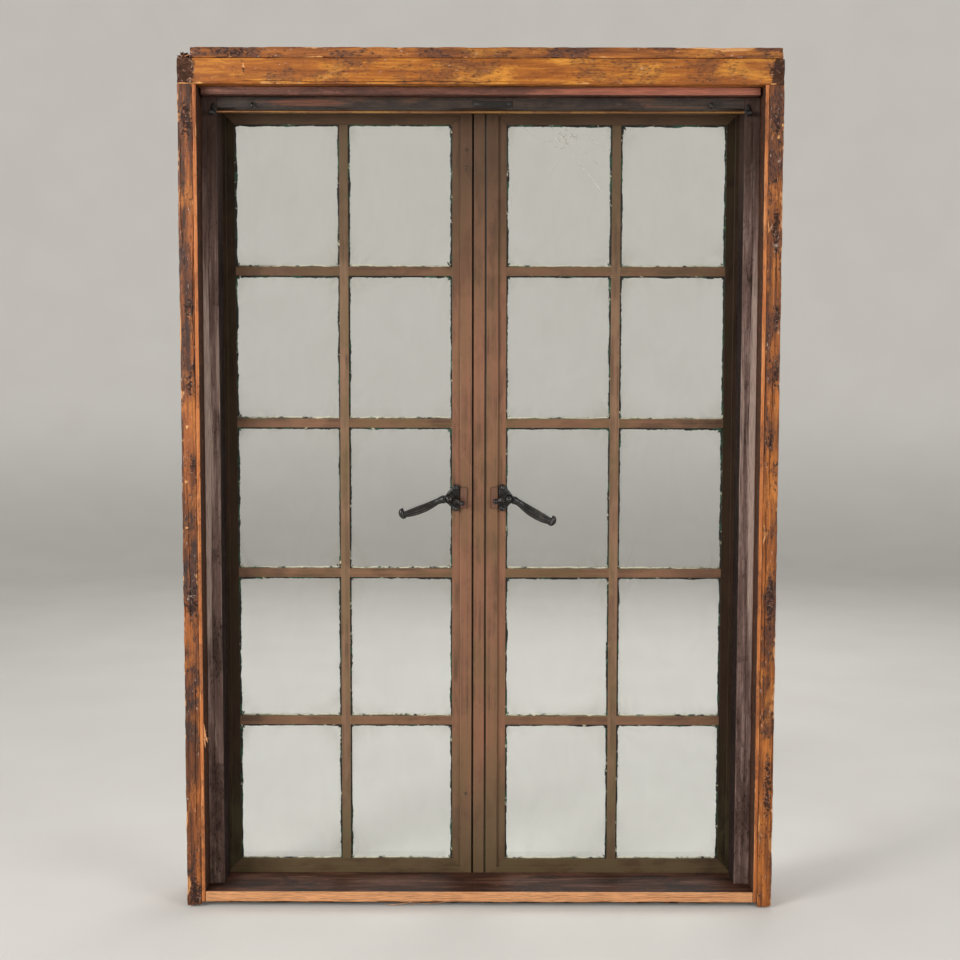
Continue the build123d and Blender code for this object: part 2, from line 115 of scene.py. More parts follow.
class Recipe:
    """The node tree of one material, put together in plain steps."""

    def __init__(self, name: str) -> None:
        """Starts a material with one surface shader and the place on the object as input.

        Args:
            name: The material's name.
        """
        self.material = bpy.data.materials.new(name)
        self.material.use_nodes = True
        self.tree = self.material.node_tree
        self.shader = self.tree.nodes["Principled BSDF"]
        self.output = self.tree.nodes["Material Output"]
        self.place = self.node("ShaderNodeTexCoord").outputs["Object"]

    def node(self, kind: str, **settings: object) -> bpy.types.ShaderNode:
        """Adds a node and gives it these settings."""
        added = self.tree.nodes.new(kind)
        for name, value in settings.items():
            setattr(added, name, value)
        return added

    def feed(self, socket: Socket, value: Feed) -> None:
        """Links a socket to another one, or writes a plain value on it."""
        if isinstance(value, Socket):
            self.tree.links.new(value, socket)
        else:
            socket.default_value = value

    def stretched(self, scale: Point, shift: float = 0.0) -> Socket:
        """The place on the object, scaled along each axis and shifted.

        Args:
            scale: Scale along X, Y and Z.
            shift: Moves the pattern, so that two finishes differ.

        Returns:
            The scaled place.
        """
        mapping = self.node("ShaderNodeMapping")
        mapping.inputs["Location"].default_value = (shift, shift * 0.7, shift * 1.3)
        mapping.inputs["Scale"].default_value = scale
        self.feed(mapping.inputs["Vector"], self.place)
        return mapping.outputs["Vector"]

    def cloud(self, place: Feed, scale: float, detail: float = 4.0, rough: float = 0.55,
              bend: float = 0.0) -> Socket:
        """Cloudy noise from 0 to 1.

        Args:
            place: Where the noise is read.
            scale: Blobs to the metre.
            detail: Finer layers added.
            rough: Strength of the finer layers.
            bend: How far the noise is warped by itself.

        Returns:
            The noise value.
        """
        added = self.node("ShaderNodeTexNoise")
        self.feed(added.inputs["Vector"], place)
        added.inputs["Scale"].default_value = scale
        added.inputs["Detail"].default_value = detail
        added.inputs["Roughness"].default_value = rough
        added.inputs["Distortion"].default_value = bend
        return added.outputs["Fac"]

    def band(self, value: Feed, low: float, high: float, top: float = 1.0) -> Socket:
        """A soft step from 0 below low to top above high.

        Args:
            value: The value that is stepped.
            low: Where the step starts.
            high: Where it ends.
            top: What it reaches.

        Returns:
            The stepped value.
        """
        added = self.node("ShaderNodeMapRange", interpolation_type="SMOOTHSTEP")
        self.feed(added.inputs["Value"], value)
        added.inputs["From Min"].default_value = low
        added.inputs["From Max"].default_value = high
        added.inputs["To Max"].default_value = top
        return added.outputs["Result"]

    def maths(self, operation: str, first: Feed, second: Feed) -> Socket:
        """One operation on two values, kept between 0 and 1."""
        added = self.node("ShaderNodeMath", operation=operation, use_clamp=True)
        self.feed(added.inputs[0], first)
        self.feed(added.inputs[1], second)
        return added.outputs["Value"]

    def plus(self, first: Feed, second: Feed) -> Socket:
        """The sum of two values, up to 1."""
        return self.maths("ADD", first, second)

    def times(self, first: Feed, second: Feed) -> Socket:
        """The product of two values, up to 1."""
        return self.maths("MULTIPLY", first, second)

    def blend(self, share: Feed, first: Feed, second: Feed) -> Socket:
        """Mixes two colours, from the first at share 0 to the second at share 1."""
        added = self.node("ShaderNodeMix", data_type="RGBA")
        self.feed(added.inputs[0], share)
        self.feed(added.inputs[6], first)
        self.feed(added.inputs[7], second)
        return added.outputs[2]

    def read(self, name: str) -> Socket:
        """A value that the mesh carries on its points."""
        return self.node("ShaderNodeAttribute", attribute_name=name).outputs["Fac"]

    def height(self) -> Socket:
        """Height above the floor, in metres."""
        split = self.node("ShaderNodeSeparateXYZ")
        self.feed(split.inputs["Vector"], self.place)
        return split.outputs["Z"]

    def relief(self, height: Feed, depth: float, strength: float = 1.0) -> Socket:
        """A surface normal with fine relief.

        Args:
            height: The relief, from 0 to 1.
            depth: Depth of the relief in metres.
            strength: Share of the relief that shows.

        Returns:
            The changed normal.
        """
        added = self.node("ShaderNodeBump")
        added.inputs["Strength"].default_value = strength
        added.inputs["Distance"].default_value = depth
        self.feed(added.inputs["Height"], height)
        return added.outputs["Normal"]

    def surface(self, inputs: dict[str, Feed]) -> bpy.types.Material:
        """Feeds the surface shader's inputs by name and hands over the finished material."""
        for name, value in inputs.items():
            self.feed(self.shader.inputs[name], value)
        return self.material


class Side(Enum):
    """The two sides of the window, as they are seen from the room."""

    LEFT = "left"
    RIGHT = "right"

    @property
    def outward(self) -> int:
        """1 on the right and -1 on the left: the way from the middle of the window."""
        return 1 if self is Side.RIGHT else -1

    def named(self, part: str) -> str:
        """The name of a part on this side."""
        return f"{self.value}_{part}"


class Along(Enum):
    """The axis that a board's grain and length follow."""

    X = 0
    Z = 2

    def stretch(self, across: float, along: float) -> Point:
        """Scales for a pattern that is drawn out along the grain."""
        scale = [across] * 3
        scale[self.value] = along
        return tuple(scale)


@dataclass(frozen=True)
class TimberFinish:
    """Old timber with its stain, grime, fresh splinters and end grain, and painted shade on dark sides and
    towards the ends.
    """

    name: str
    slot: str
    along: Along
    dark: Colour
    mid: Colour
    light: Colour
    grime: Colour
    bare: Colour = tone(232, 170, 108)
    stain: Colour = tone(58, 38, 34)
    fleck: Colour = tone(196, 172, 156)
    pit: Colour = tone(34, 22, 16)
    glow: Colour = tone(234, 160, 62)
    glow_share: float = 0.0
    pit_share: float = 0.8
    grime_share: float = 0.6
    contrast: float = 0.7
    gloss: float = 0.5
    end_shade: float = 0.0
    sheen: float = 0.35
    shift: float = 0.0

    def material(self) -> bpy.types.Material:
        """Makes the material.

        Returns:
            A material that reads the points' bare values and their stain values, which also carry painted
            shade.
        """
        recipe = Recipe(self.name)
        threads, grain, fleece, clouds = [
            recipe.stretched(self.along.stretch(1.0, share), self.shift) for share in (0.03, 0.1, 0.3, 0.6)
        ]
        figure = recipe.cloud(grain, 55, 4, 0.62, 0.9)
        streak = recipe.cloud(threads, 210, 3, 0.65)
        fibre = recipe.cloud(threads, 900, 2, 0.6)
        blotch = recipe.cloud(clouds, 17, 7, 0.68, 0.5)
        warm = recipe.cloud(fleece, 26, 6, 0.66, 0.6)
        pits = recipe.cloud(fleece, 330, 3, 0.62)
        crumbs = recipe.cloud(fleece, 250, 3, 0.6, 0.4)

        # Grain from dark to light, then grime, pits and pale flecks in it
        rise = recipe.plus(recipe.times(figure, 0.6), recipe.times(streak, 0.4))
        low = recipe.plus(recipe.times(recipe.band(rise, 0.38, 0.52), self.contrast), 1 - self.contrast)
        colour = recipe.blend(low, self.dark, self.mid)
        colour = recipe.blend(recipe.band(rise, 0.5, 0.6, self.contrast), colour, self.light)
        colour = recipe.blend(recipe.band(warm, 0.5, 0.66, self.glow_share), colour, self.glow)
        colour = recipe.blend(recipe.band(fibre, 0.48, 0.6, 0.35), colour, self.dark)
        colour = recipe.blend(recipe.band(blotch, 0.5, 0.6, self.grime_share), colour, self.grime)
        near_dirt = recipe.plus(recipe.times(recipe.band(blotch, 0.42, 0.6), 0.09), pits)
        colour = recipe.blend(recipe.band(near_dirt, 0.6, 0.68, self.pit_share), colour, self.pit)
        colour = recipe.blend(recipe.band(crumbs, 0.66, 0.72, self.pit_share), colour, self.fleck)

        # Torn and stained wood, which also paints shade over a board's dark side, then freshly bared wood
        crust = recipe.cloud(recipe.place, 170, 4, 0.68)
        stain_and_shade_mask = recipe.plus(recipe.read("stain"), recipe.times(recipe.band(crust, 0.35, 0.65), 0.5))
        stain_and_shade_mask = recipe.band(stain_and_shade_mask, 0.6, 0.9, 0.93)
        colour = recipe.blend(stain_and_shade_mask, colour, self.rough_wood(recipe, crumbs))
        bare = recipe.plus(recipe.read("bare"), recipe.times(streak, 0.5))
        fresh = recipe.blend(recipe.band(fibre, 0.42, 0.62, 0.5), self.bare, self.mid)
        colour = recipe.blend(recipe.band(bare, 0.66, 0.92, 0.9), colour, fresh)
        # Painted shade towards the top end, under the head, and a weaker darkening towards the bottom end
        if self.end_shade:
            height = recipe.height()
            ends = recipe.plus(recipe.band(height, 1.28, 1.54), recipe.band(height, 0.5, 0.04, 0.2))
            colour = recipe.blend(recipe.times(ends, self.end_shade), colour, self.grime)

        roughness = recipe.plus(recipe.times(blotch, 0.3), self.gloss - 0.12)
        fuzz = recipe.plus(recipe.times(streak, 0.45), recipe.times(fibre, 0.35))
        fuzz = recipe.plus(fuzz, recipe.times(crust, 0.25))
        return recipe.surface({
            "Base Color": colour,
            "Roughness": recipe.maths("MAXIMUM", roughness, stain_and_shade_mask),
            "Specular IOR Level": self.sheen,
            "Normal": recipe.relief(fuzz, 1.1 * MM, 0.9),
        })

    def rough_wood(self, recipe: Recipe, crumbs: Socket) -> Socket:
        """The colour of torn, weathered wood, with its crumbs and pale flecks."""
        torn = recipe.cloud(recipe.place, 85, 6, 0.82, 1.2)
        colour = recipe.blend(recipe.band(crumbs, 0.4, 0.6), self.pit, self.stain)
        colour = recipe.blend(recipe.band(torn, 0.5, 0.66, 0.55), colour, self.dark)
        return recipe.blend(recipe.band(torn, 0.58, 0.64, 0.8), colour, self.fleck)


@dataclass(frozen=True)
class PaintFinish:
    """Worn paint on steel: brown over olive, with rust freckles, pale chips and painted shade towards the
    top.
    """

    name: str = "worn_brown_paint"
    slot: str = "painted_steel"
    umber: Colour = tone(92, 66, 48)
    brown: Colour = tone(128, 92, 66)
    rosy: Colour = tone(147, 99, 75)
    olive: Colour = tone(112, 90, 58)
    green: Colour = tone(82, 76, 52)
    rust: Colour = tone(96, 58, 38)
    chip: Colour = tone(190, 184, 164)
    grain: Along = Along.Z
    painted_top_shade: Colour = tone(74, 53, 37)
    rosy_share: float = 0.75
    olive_share: float = 0.4
    painted_top_shade_share: float = 0.75
    sheen: float = 0.38
    shift: float = 0.0

    def material(self) -> bpy.types.Material:
        """Makes the material.

        Returns:
            A material with mottled colour and brush relief.
        """
        recipe = Recipe(self.name)
        run = recipe.cloud(recipe.stretched(self.grain.stretch(1.0, 0.02), self.shift), 190, 4, 0.65)
        mottle = recipe.cloud(recipe.stretched(self.grain.stretch(1.0, 0.5), self.shift), 30, 5, 0.6, 0.5)
        patch = recipe.cloud(recipe.stretched(self.grain.stretch(1.0, 0.25), self.shift + 3.0), 22, 4, 0.6)
        grit = recipe.cloud(recipe.stretched((1, 1, 1), self.shift), 420, 3, 0.6)
        height = recipe.height()

        colour = recipe.blend(recipe.band(mottle, 0.36, 0.6), self.umber, self.brown)
        # Rosier in the middle and greener where damp sits low
        middle = recipe.times(recipe.band(height, 1.5, 1.05), recipe.band(height, 0.06, 0.4))
        rosy = recipe.times(recipe.band(run, 0.3, 0.62), self.rosy_share)
        rosy = recipe.times(rosy, recipe.plus(recipe.times(middle, 0.8), 0.2))
        colour = recipe.blend(rosy, colour, self.rosy)
        olive = recipe.times(recipe.band(patch, 0.48, 0.62), self.olive_share)
        colour = recipe.blend(olive, colour, self.olive)
        damp = recipe.times(recipe.band(height, 0.34, 0.04, 0.6), recipe.band(mottle, 0.25, 0.6))
        colour = recipe.blend(damp, colour, self.green)
        # Painted shade: the paint turns darker towards the top, under the head
        colour = recipe.blend(recipe.band(height, 1.12, 1.56, self.painted_top_shade_share), colour, self.painted_top_shade)
        # Rust freckles and pale chips
        freckle = recipe.band(recipe.cloud(recipe.place, 150, 4, 0.7), 0.62, 0.7, 0.6)
        colour = recipe.blend(freckle, colour, self.rust)
        colour = recipe.blend(recipe.band(grit, 0.68, 0.74, 0.3), colour, self.chip)

        brushed = recipe.plus(recipe.times(run, 0.5), recipe.times(grit, 0.3))
        return recipe.surface({
            "Base Color": colour,
            "Specular IOR Level": self.sheen,
            "Roughness": recipe.plus(recipe.times(mottle, 0.3), 0.3),
            "Normal": recipe.relief(brushed, 0.3 * MM, 0.6),
        })


@dataclass(frozen=True)
class IronFinish:
    """Blackened wrought iron with a dull sheen and hammer marks."""

    name: str = "blackened_iron"
    slot: str = "wrought_iron"
    black: Colour = tone(29, 25, 23)
    worn: Colour = tone(78, 69, 62)
    rust: Colour = tone(66, 46, 36)

    def material(self) -> bpy.types.Material:
        """Makes the material.

        Returns:
            A dark metal that is lighter where it is rubbed.
        """
        recipe = Recipe(self.name)
        mottle = recipe.cloud(recipe.place, 60, 6, 0.6)
        hammer = recipe.cloud(recipe.place, 190, 2, 0.5)
        colour = recipe.blend(recipe.band(mottle, 0.54, 0.72), self.black, self.worn)
        rust = recipe.band(recipe.cloud(recipe.place, 330, 4, 0.7), 0.6, 0.7, 0.4)
        colour = recipe.blend(rust, colour, self.rust)
        return recipe.surface({
            "Base Color": colour,
            "Metallic": 0.35,
            "Specular IOR Level": 0.8,
            "Roughness": recipe.plus(recipe.times(mottle, 0.3), 0.2),
            "Normal": recipe.relief(hammer, 0.5 * MM, 0.4),
        })


@dataclass(frozen=True)
class BrassFinish:
    """A brass rod gone copper and brown in places."""

    name: str = "tarnished_brass"
    slot: str = "brass"
    gold: Colour = tone(150, 110, 62)
    copper: Colour = tone(126, 86, 52)
    brown: Colour = tone(84, 60, 42)

    def material(self) -> bpy.types.Material:
        """Makes the material.

        Returns:
            A metal whose tarnish changes along the rod.
        """
        recipe = Recipe(self.name)
        along = recipe.cloud(recipe.stretched((1.0, 6.0, 6.0)), 7, 6, 0.6)
        colour = recipe.blend(recipe.band(along, 0.4, 0.58), self.copper, self.gold)
        spots = recipe.band(recipe.cloud(recipe.place, 90, 4, 0.65), 0.5, 0.7, 0.5)
        colour = recipe.blend(spots, colour, self.brown)
        return recipe.surface({
            "Base Color": colour,
            "Metallic": 0.7,
            "Roughness": recipe.plus(recipe.times(spots, 0.3), 0.3),
        })


@dataclass(frozen=True)
class PuttyFinish:
    """Hard old putty, dark green, with pale dust and painted light on what faces up, and pale broken edges.
    """

    name: str
    dark: Colour
    green: Colour = tone(56, 92, 68)
    pale: Colour = tone(206, 202, 176)
    pale_share: float = 0.6
    slot: str = "putty"

    def material(self) -> bpy.types.Material:
        """Makes the material.

        Returns:
            A rough material with pale chips.
        """
        recipe = Recipe(self.name)
        lumps = recipe.cloud(recipe.place, 70, 5, 0.7)
        tinted = recipe.band(recipe.cloud(recipe.place, 34, 6, 0.65), 0.5, 0.6, 0.85)
        colour = recipe.blend(tinted, self.dark, self.green)
        # Pale on what faces up: dust, and painted light falling from above
        facing = recipe.node("ShaderNodeSeparateXYZ")
        recipe.feed(facing.inputs["Vector"], recipe.node("ShaderNodeNewGeometry").outputs["Normal"])
        dust = recipe.band(facing.outputs["Z"], 0.08, 0.45)
        dust = recipe.times(dust, recipe.band(lumps, 0.34, 0.5))
        chips = recipe.plus(recipe.band(lumps, 0.6, 0.66, self.pale_share), dust)
        colour = recipe.blend(chips, colour, self.pale)
        crumbs = recipe.cloud(recipe.place, 500, 3, 0.65)
        return recipe.surface({
            "Base Color": colour,
            "Roughness": 0.75,
            "Normal": recipe.relief(crumbs, 0.6 * MM, 0.8),
        })


@dataclass(frozen=True)
class GlassFinish:
    """Thin old glass with a dusty film that thickens towards the edges."""

    name: str = "old_glass"
    slot: str = "glass"
    tint: Colour = tone(251, 253, 251)
    dust: Colour = tone(150, 140, 124)

    def material(self) -> bpy.types.Material:
        """Makes the material.

        Returns:
            Clear glass that lets lamps through, under a faint film.
        """
        recipe = Recipe(self.name)
        recipe.surface({"Base Color": self.tint, "Transmission Weight": 1.0, "Roughness": 0.02, "IOR": 1.5})
        clear = recipe.node("ShaderNodeBsdfTransparent")
        clear.inputs["Color"].default_value = self.tint
        path = recipe.node("ShaderNodeLightPath")
        lit = recipe.node("ShaderNodeMixShader")
        recipe.feed(lit.inputs[0], path.outputs["Is Shadow Ray"])
        recipe.feed(lit.inputs[1], recipe.shader.outputs["BSDF"])
        recipe.feed(lit.inputs[2], clear.outputs["BSDF"])
        film = recipe.node("ShaderNodeBsdfDiffuse")
        film.inputs["Color"].default_value = self.dust
        smear = recipe.cloud(recipe.stretched((1.0, 1.0, 0.6)), 16, 3, 0.6, 0.8)
        share = recipe.times(recipe.band(smear, 0.25, 0.75), recipe.read("film"))
        dusty = recipe.node("ShaderNodeMixShader")
        recipe.feed(dusty.inputs[0], share)
        recipe.feed(dusty.inputs[1], lit.outputs["Shader"])
        recipe.feed(dusty.inputs[2], film.outputs["BSDF"])
        recipe.feed(recipe.output.inputs["Surface"], dusty.outputs["Shader"])
        return recipe.material


@dataclass(frozen=True)
class ThreadFinish:
    """Dusty cobweb thread."""

    name: str = "cobweb_thread"
    slot: str = "glass"
    pale: Colour = tone(228, 224, 216)
    grey: Colour = tone(168, 162, 152)

    def material(self) -> bpy.types.Material:
        """Makes the material.

        Returns:
            A pale rough material.
        """
        recipe = Recipe(self.name)
        clumps = recipe.band(recipe.cloud(recipe.place, 300, 3, 0.6), 0.4, 0.6)
        return recipe.surface({"Base Color": recipe.blend(clumps, self.grey, self.pale), "Roughness": 0.9})


Finish = TimberFinish | PaintFinish | IronFinish | BrassFinish | PuttyFinish | GlassFinish | ThreadFinish

MATERIALS: dict[str, bpy.types.Material] = {}


def material_of(finish: Finish) -> bpy.types.Material:
    """The finish's material, made the first time it is asked for."""
    if finish.name not in MATERIALS:
        MATERIALS[finish.name] = finish.material()
    return MATERIALS[finish.name]


def bent_tube(path: list[Vector], radii: list[float], sides: int, across: Vector,
              flat: float = 1.0) -> list[list[Point]]:
    """Rings round a bent path.

    Args:
        path: The middle of each ring.
        radii: The radius of each ring.
        sides: Points in each ring.
        across: A direction that the path never follows.
        flat: Thickness along that direction, as a share of the radius.

    Returns:
        The rings.
    """
    rings = []
    for index, (middle, radius) in enumerate(zip(path, radii)):
        tangent = (path[min(index + 1, len(path) - 1)] - path[max(index - 1, 0)]).normalized()
        first = across.cross(tangent).normalized()
        second = tangent.cross(first)
        rings.append([middle + first * radius * math.cos(angle) + second * radius * flat * math.sin(angle)
                      for angle in circle(sides)])
    return rings


@dataclass
class Shell:
    """Points and faces of a piece while it is put together."""

    points: list[Point] = field(default_factory=list)
    faces: list[tuple[int, ...]] = field(default_factory=list)
    values: dict[str, list[float]] = field(default_factory=dict)

    def add(self, points: list[Point], faces: list[tuple[int, ...]]) -> None:
        """Joins more points and faces on, counting the new faces from the new points."""
        start = len(self.points)
        self.points += [tuple(point) for point in points]
        self.faces += [tuple(start + index for index in face) for face in faces]

    def tube(self, rings: list[list[Point]], closed: bool = False) -> None:
        """Skins rings of as many points each, with flat ends or joined into a loop.

        Args:
            rings: The rings, each listed the same way round.
            closed: True if the last ring joins the first.
        """
        sides = len(rings[0])
        spans = len(rings) if closed else len(rings) - 1
        faces = []
        for ring in range(spans):
            ahead = (ring + 1) % len(rings)
            for side in range(sides):
                beside = (side + 1) % sides
                faces.append((ring * sides + side, ring * sides + beside,
                              ahead * sides + beside, ahead * sides + side))
        if not closed:
            faces.append(tuple(reversed(range(sides))))
            faces.append(tuple(range((len(rings) - 1) * sides, len(rings) * sides)))
        self.add([point for ring in rings for point in ring], faces)

    def spread(self, **values: float) -> None:
        """Gives every point so far the same named values."""
        for name, value in values.items():
            self.values[name] = [value] * len(self.points)

    def piece(self, name: str, finish: Finish, body: str = FRAME_BODY,
              sharp: float = 35.0) -> bpy.types.Object:
        """Turns the shell into an object that rides on a body.

        Args:
            name: The piece's name.
            finish: Its finish, which has a material and a slot.
            body: The body that it moves with.
            sharp: Edges that turn by more than this many degrees stay crisp.

        Returns:
            The new object.
        """
        mesh = bpy.data.meshes.new(name)
        mesh.from_pydata(self.points, [], self.faces)
        mesh.validate()
        for value_name, values in self.values.items():
            attribute = mesh.attributes.new(value_name, "FLOAT", "POINT")
            attribute.data.foreach_set("value", np.array(values, np.float32))
        mesh.shade_smooth()
        mesh.set_sharp_from_angle(angle=math.radians(sharp))
        made = bpy.data.objects.new(name, mesh)
        bpy.context.scene.collection.objects.link(made)
        mesh.materials.append(material_of(finish))
        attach(made, body)
        LOG.info("%s: %d faces", name, len(mesh.polygons))
        return made


class Look(Enum):
    """What a patch on a board shows."""

    BARE = "bare"
    STAIN = "stain"


@dataclass
class Patch:
    """A part of a board that is fresher or darker than the rest."""

    look: Look
    centre: Point
    reach: Point
    strength: float = 1.0

    def share(self, point: Point) -> float:
        """How strongly the patch shows at a point, from 0 to 1."""
        away = sum(((point[i] - self.centre[i]) / self.reach[i]) ** 2 for i in range(3)) ** 0.5
        return self.strength * within(1.6 * (1.0 - away))


def face_patches(look: Look, face: float, depth: float, strength: float,
                 rows: list[tuple[float, float, float, float]]) -> list[Patch]:
    """Patches on a face that looks to the room.

    Args:
        look: What they show.
        face: Where the face lies.
        depth: How deep they reach behind it.
        strength: How strongly they show.
        rows: For each its place across and up, and its reach across and up.

    Returns:
        The patches.
    """
    return [Patch(look, (x, face, z), (across, depth, up), strength) for x, z, across, up in rows]


@dataclass
class Crack:
    """A split along the grain."""

    edge: int
    across: float
    start: float
    end: float
    width: float = 1.6 * MM
    depth: float = 2.5 * MM

    def opening(self, along: float, wander: float) -> float:
        """Share of the split's full depth at a place along the board."""
        if not self.start < along < self.end:
            return 0.0
        middle = (self.start + self.end) / 2
        half = (self.end - self.start) / 2
        return min(1.0, 2.5 * (1 - abs(along - middle) / half)) * (0.5 + wander)


@dataclass
class Sample:
    """A place on a board's outline where its surface is shaped."""

    point: Vector
    inward: Vector
    side: int
    at: float
    far: float


@dataclass
class Board:
    """A board or post whose arrises are worn, chipped and split, always inside its sawn size."""

    name: str
    node: str
    along: Along
    outline: list[Span]
    start: float
    end: float
    finish: TimberFinish
    seed: int
    arris: float = 1.2 * MM
    chips: dict[int, int] = field(default_factory=dict)
    chip_size: float = 3.0 * MM
    chip_reach: Span = (4 * MM, 32 * MM)
    # A side darkened all over with the stain colour: painted shade on the liners
    dark_side: int | None = None
    waves: float = 0.5 * MM
    ragged: Span = (0.0, 0.0)
    cracks: list[Crack] = field(default_factory=list)
    patches: list[Patch] = field(default_factory=list)
    step_across: float = 5.5 * MM
    step_along: float = 5.0 * MM
    end_lip: float = 0.8 * MM
    end_inset: float = 0.7 * MM
    corner_loss: float = 0.293
    end_rings: Point = (0.7, 0.4, 0.15)
    end_bareness: float = 0.25
    end_stain: float = 0.5

    def edges(self) -> list[tuple[Vector, Vector, float]]:
        """Start point, direction and length of each side of the outline."""
        sides = []
        for first, second in zip(self.outline, self.outline[1:] + self.outline[:1]):
            run = Vector(second) - Vector(first)
            sides.append((Vector(first), run.normalized(), run.length))
        return sides

    def turns_out(self, corner: int) -> bool:
        """True if the outline's corner is an outer one."""
        sides = self.edges()
        before, after = sides[corner - 1][1], sides[corner][1]
        return before.x * after.y - before.y * after.x > 0

    def samples(self) -> list[Sample]:
        """Places round the outline where the board's surface is shaped.

        Returns:
            The places, closer together beside each corner and on each crack.
        """
        found = []
        sides = self.edges()
        for index, (origin, run, length) in enumerate(sides):
            inward = Vector((-run.y, run.x))
            before = sides[index - 1][1]
            found.append(Sample(origin, inward + Vector((-before.y, before.x)), index, 0.0, length))
            near = [share * self.arris * 2 for share in (0.5, 1.2, 2.6)]
            beside = [at for at in near if at < length / 2]
            places = {*beside, *(length - at for at in beside)}
            count = max(1, round(length / self.step_across))
            places |= {length * i / count for i in range(1, count)
                       if near[-1] * 1.3 < length * i / count < length - near[-1] * 1.3}
            for crack in self.cracks:
                if crack.edge == index:
                    half = crack.width / 2
                    places = {at for at in places if abs(at - crack.across) > 2.4 * crack.width}
                    places |= {crack.across - half, crack.across, crack.across + half}
            found += [Sample(origin + run * at, inward, index, at, length - at) for at in sorted(places)]
        return found

    def stations(self) -> list[float]:
        """Places along the board, evenly spaced between the lips of its ends."""
        first = self.start + self.end_lip + self.ragged[0] * 1.3
        last = self.end - self.end_lip - self.ragged[1] * 1.3
        count = max(2, round((last - first) / self.step_along))
        middle = [first + (last - first) * i / count for i in range(count + 1)]
        return [self.start, *middle, self.end]

    def corner_wear(self, stations: list[float]) -> np.ndarray:
        """Worn radius of each corner at each station.

        Args:
            stations: Places along the board.

        Returns:
            Radii in metres, by station and corner.
        """
        chance = np.random.default_rng(self.seed)
        wear = np.zeros((len(stations), len(self.outline)))
        places = np.array(stations)
        for corner in range(len(self.outline)):
            if not self.turns_out(corner):
                continue
            coarse = [grain_noise(place * 9, corner * 5.0, 0.0, self.seed) for place in stations]
            fine = [grain_noise(place * 60, corner * 5.0, 9.0, self.seed) for place in stations]
            wear[:, corner] = self.arris * (0.4 + 1.1 * np.array(coarse) ** 2 + 0.5 * np.array(fine))
            for _ in range(self.chips.get(corner, 0)):
                centre = chance.uniform(self.start, self.end)
                half = chance.uniform(*self.chip_reach)
                size = self.chip_size * chance.uniform(0.3, 1.0)
                away = np.clip(1 - np.abs(places - centre) / half, 0, 1)
                wear[:, corner] += size * away ** chance.uniform(0.3, 1.2)
        return wear

    def freshness(self, along: float, corner: int) -> float:
        """How fresh the wear of a corner is at a place along the board, from 0 to 1."""
        patchy = grain_noise(along * 16, corner * 3.0, 2.0, self.seed)
        fine = grain_noise(along * 110, corner * 3.0, 6.0, self.seed)
        return within(5 * (0.6 * patchy + 0.4 * fine - 0.44))

    def wander(self, sample: Sample, along: float) -> Vector:
        """How far a crack's line strays across the board at a place along it."""
        for crack in self.cracks:
            if crack.edge == sample.side and abs(sample.at - crack.across) < 0.6 * crack.width:
                stray = 0.7 * grain_noise(along * 8, crack.across * 900, 3.0, self.seed)
                stray += 0.3 * grain_noise(along * 45, crack.across * 900, 5.0, self.seed)
                return Vector((sample.inward.y, -sample.inward.x)) * (2 * stray - 1) * 3.2 * crack.width
        return Vector((0.0, 0.0))

    def bite(self, at: float, radius: float) -> float:
        """Depth worn off at a distance from a corner."""
        if radius <= 0 or at >= radius:
            return 0.0
        return min(self.corner_loss * radius, radius - math.sqrt(at * (2 * radius - at)))

    def rubbed(self, along: float, corner: int, at: float, radius: float) -> float:
        """How bare the wood is at a distance from a worn corner."""
        if at >= 1.3 * radius:
            return 0.0
        share = min(1.0, 0.25 + radius / (4 * MM)) * (1 - at / (1.6 * radius))
        return self.freshness(along, corner) * share

    def rag(self, u: float, v: float, size: float) -> float:
        """Length missing from a broken end at a point of the section."""
        coarse = grain_noise(u * 60, v * 90, 4.0, self.seed)
        fine = grain_noise(u * 330, v * 330, 8.0, self.seed)
        return size * within(1.5 * (0.65 * coarse + 0.35 * fine) - 0.2)

    def place(self, along: float, u: float, v: float) -> Point:
        """A point of the board from its place along the board and across it."""
        return (along, u, v) if self.along is Along.X else (u, v, along)

    def shaped(self, sample: Sample, along: float, worn: np.ndarray,
               end: int) -> tuple[Point, float, float]:
        """A point of the worn surface, how bare it is, and its stain value, which also carries painted
        shade.

        Args:
            sample: The place on the outline.
            along: The place along the board.
            worn: The worn radius of each corner there.
            end: -1 on the first ring, 1 on the last ring, 0 between.

        Returns:
            The point, its bare value and its stain value, which also carries painted shade.
        """
        side, beside = sample.side, (sample.side + 1) % len(self.outline)
        at, far = sample.at, sample.far
        depth = max(self.bite(at, worn[side]), self.bite(far, worn[beside]))
        u, v = sample.point
        swell = grain_noise(along * 6, u * 45, v * 45, self.seed)
        swell = 0.7 * swell + 0.3 * grain_noise(along * 40, u * 160, v * 160, self.seed)
        depth += self.waves * swell
        # Painted shade: a dark side takes the dark stain colour all over; on the liners it is the inner
        # side, which lies in shadow
        stain = 1.0 if side == self.dark_side and at > self.arris and far > self.arris else 0.0
        bare = max(self.rubbed(along, side, at, worn[side]), self.rubbed(along, beside, far, worn[beside]))
        for crack in self.cracks:
            if crack.edge == side and abs(at - crack.across) < 0.1 * MM:
                open_share = crack.opening(along, grain_noise(along * 30, 1.0, 2.0, self.seed))
                depth += crack.depth * open_share
                stain = max(stain, open_share)
        missing = 0.0
        if end:
            depth += self.end_inset
            missing = -end * self.rag(u, v, self.ragged[max(end, 0)])
        inner = Vector((u, v)) + sample.inward * depth + self.wander(sample, along)
        point = self.place(along + missing, inner.x, inner.y)
        for patch in self.patches:
            if patch.look is Look.BARE:
                bare = max(bare, patch.share(point))
            else:
                stain = max(stain, patch.share(point))
        return point, bare, stain

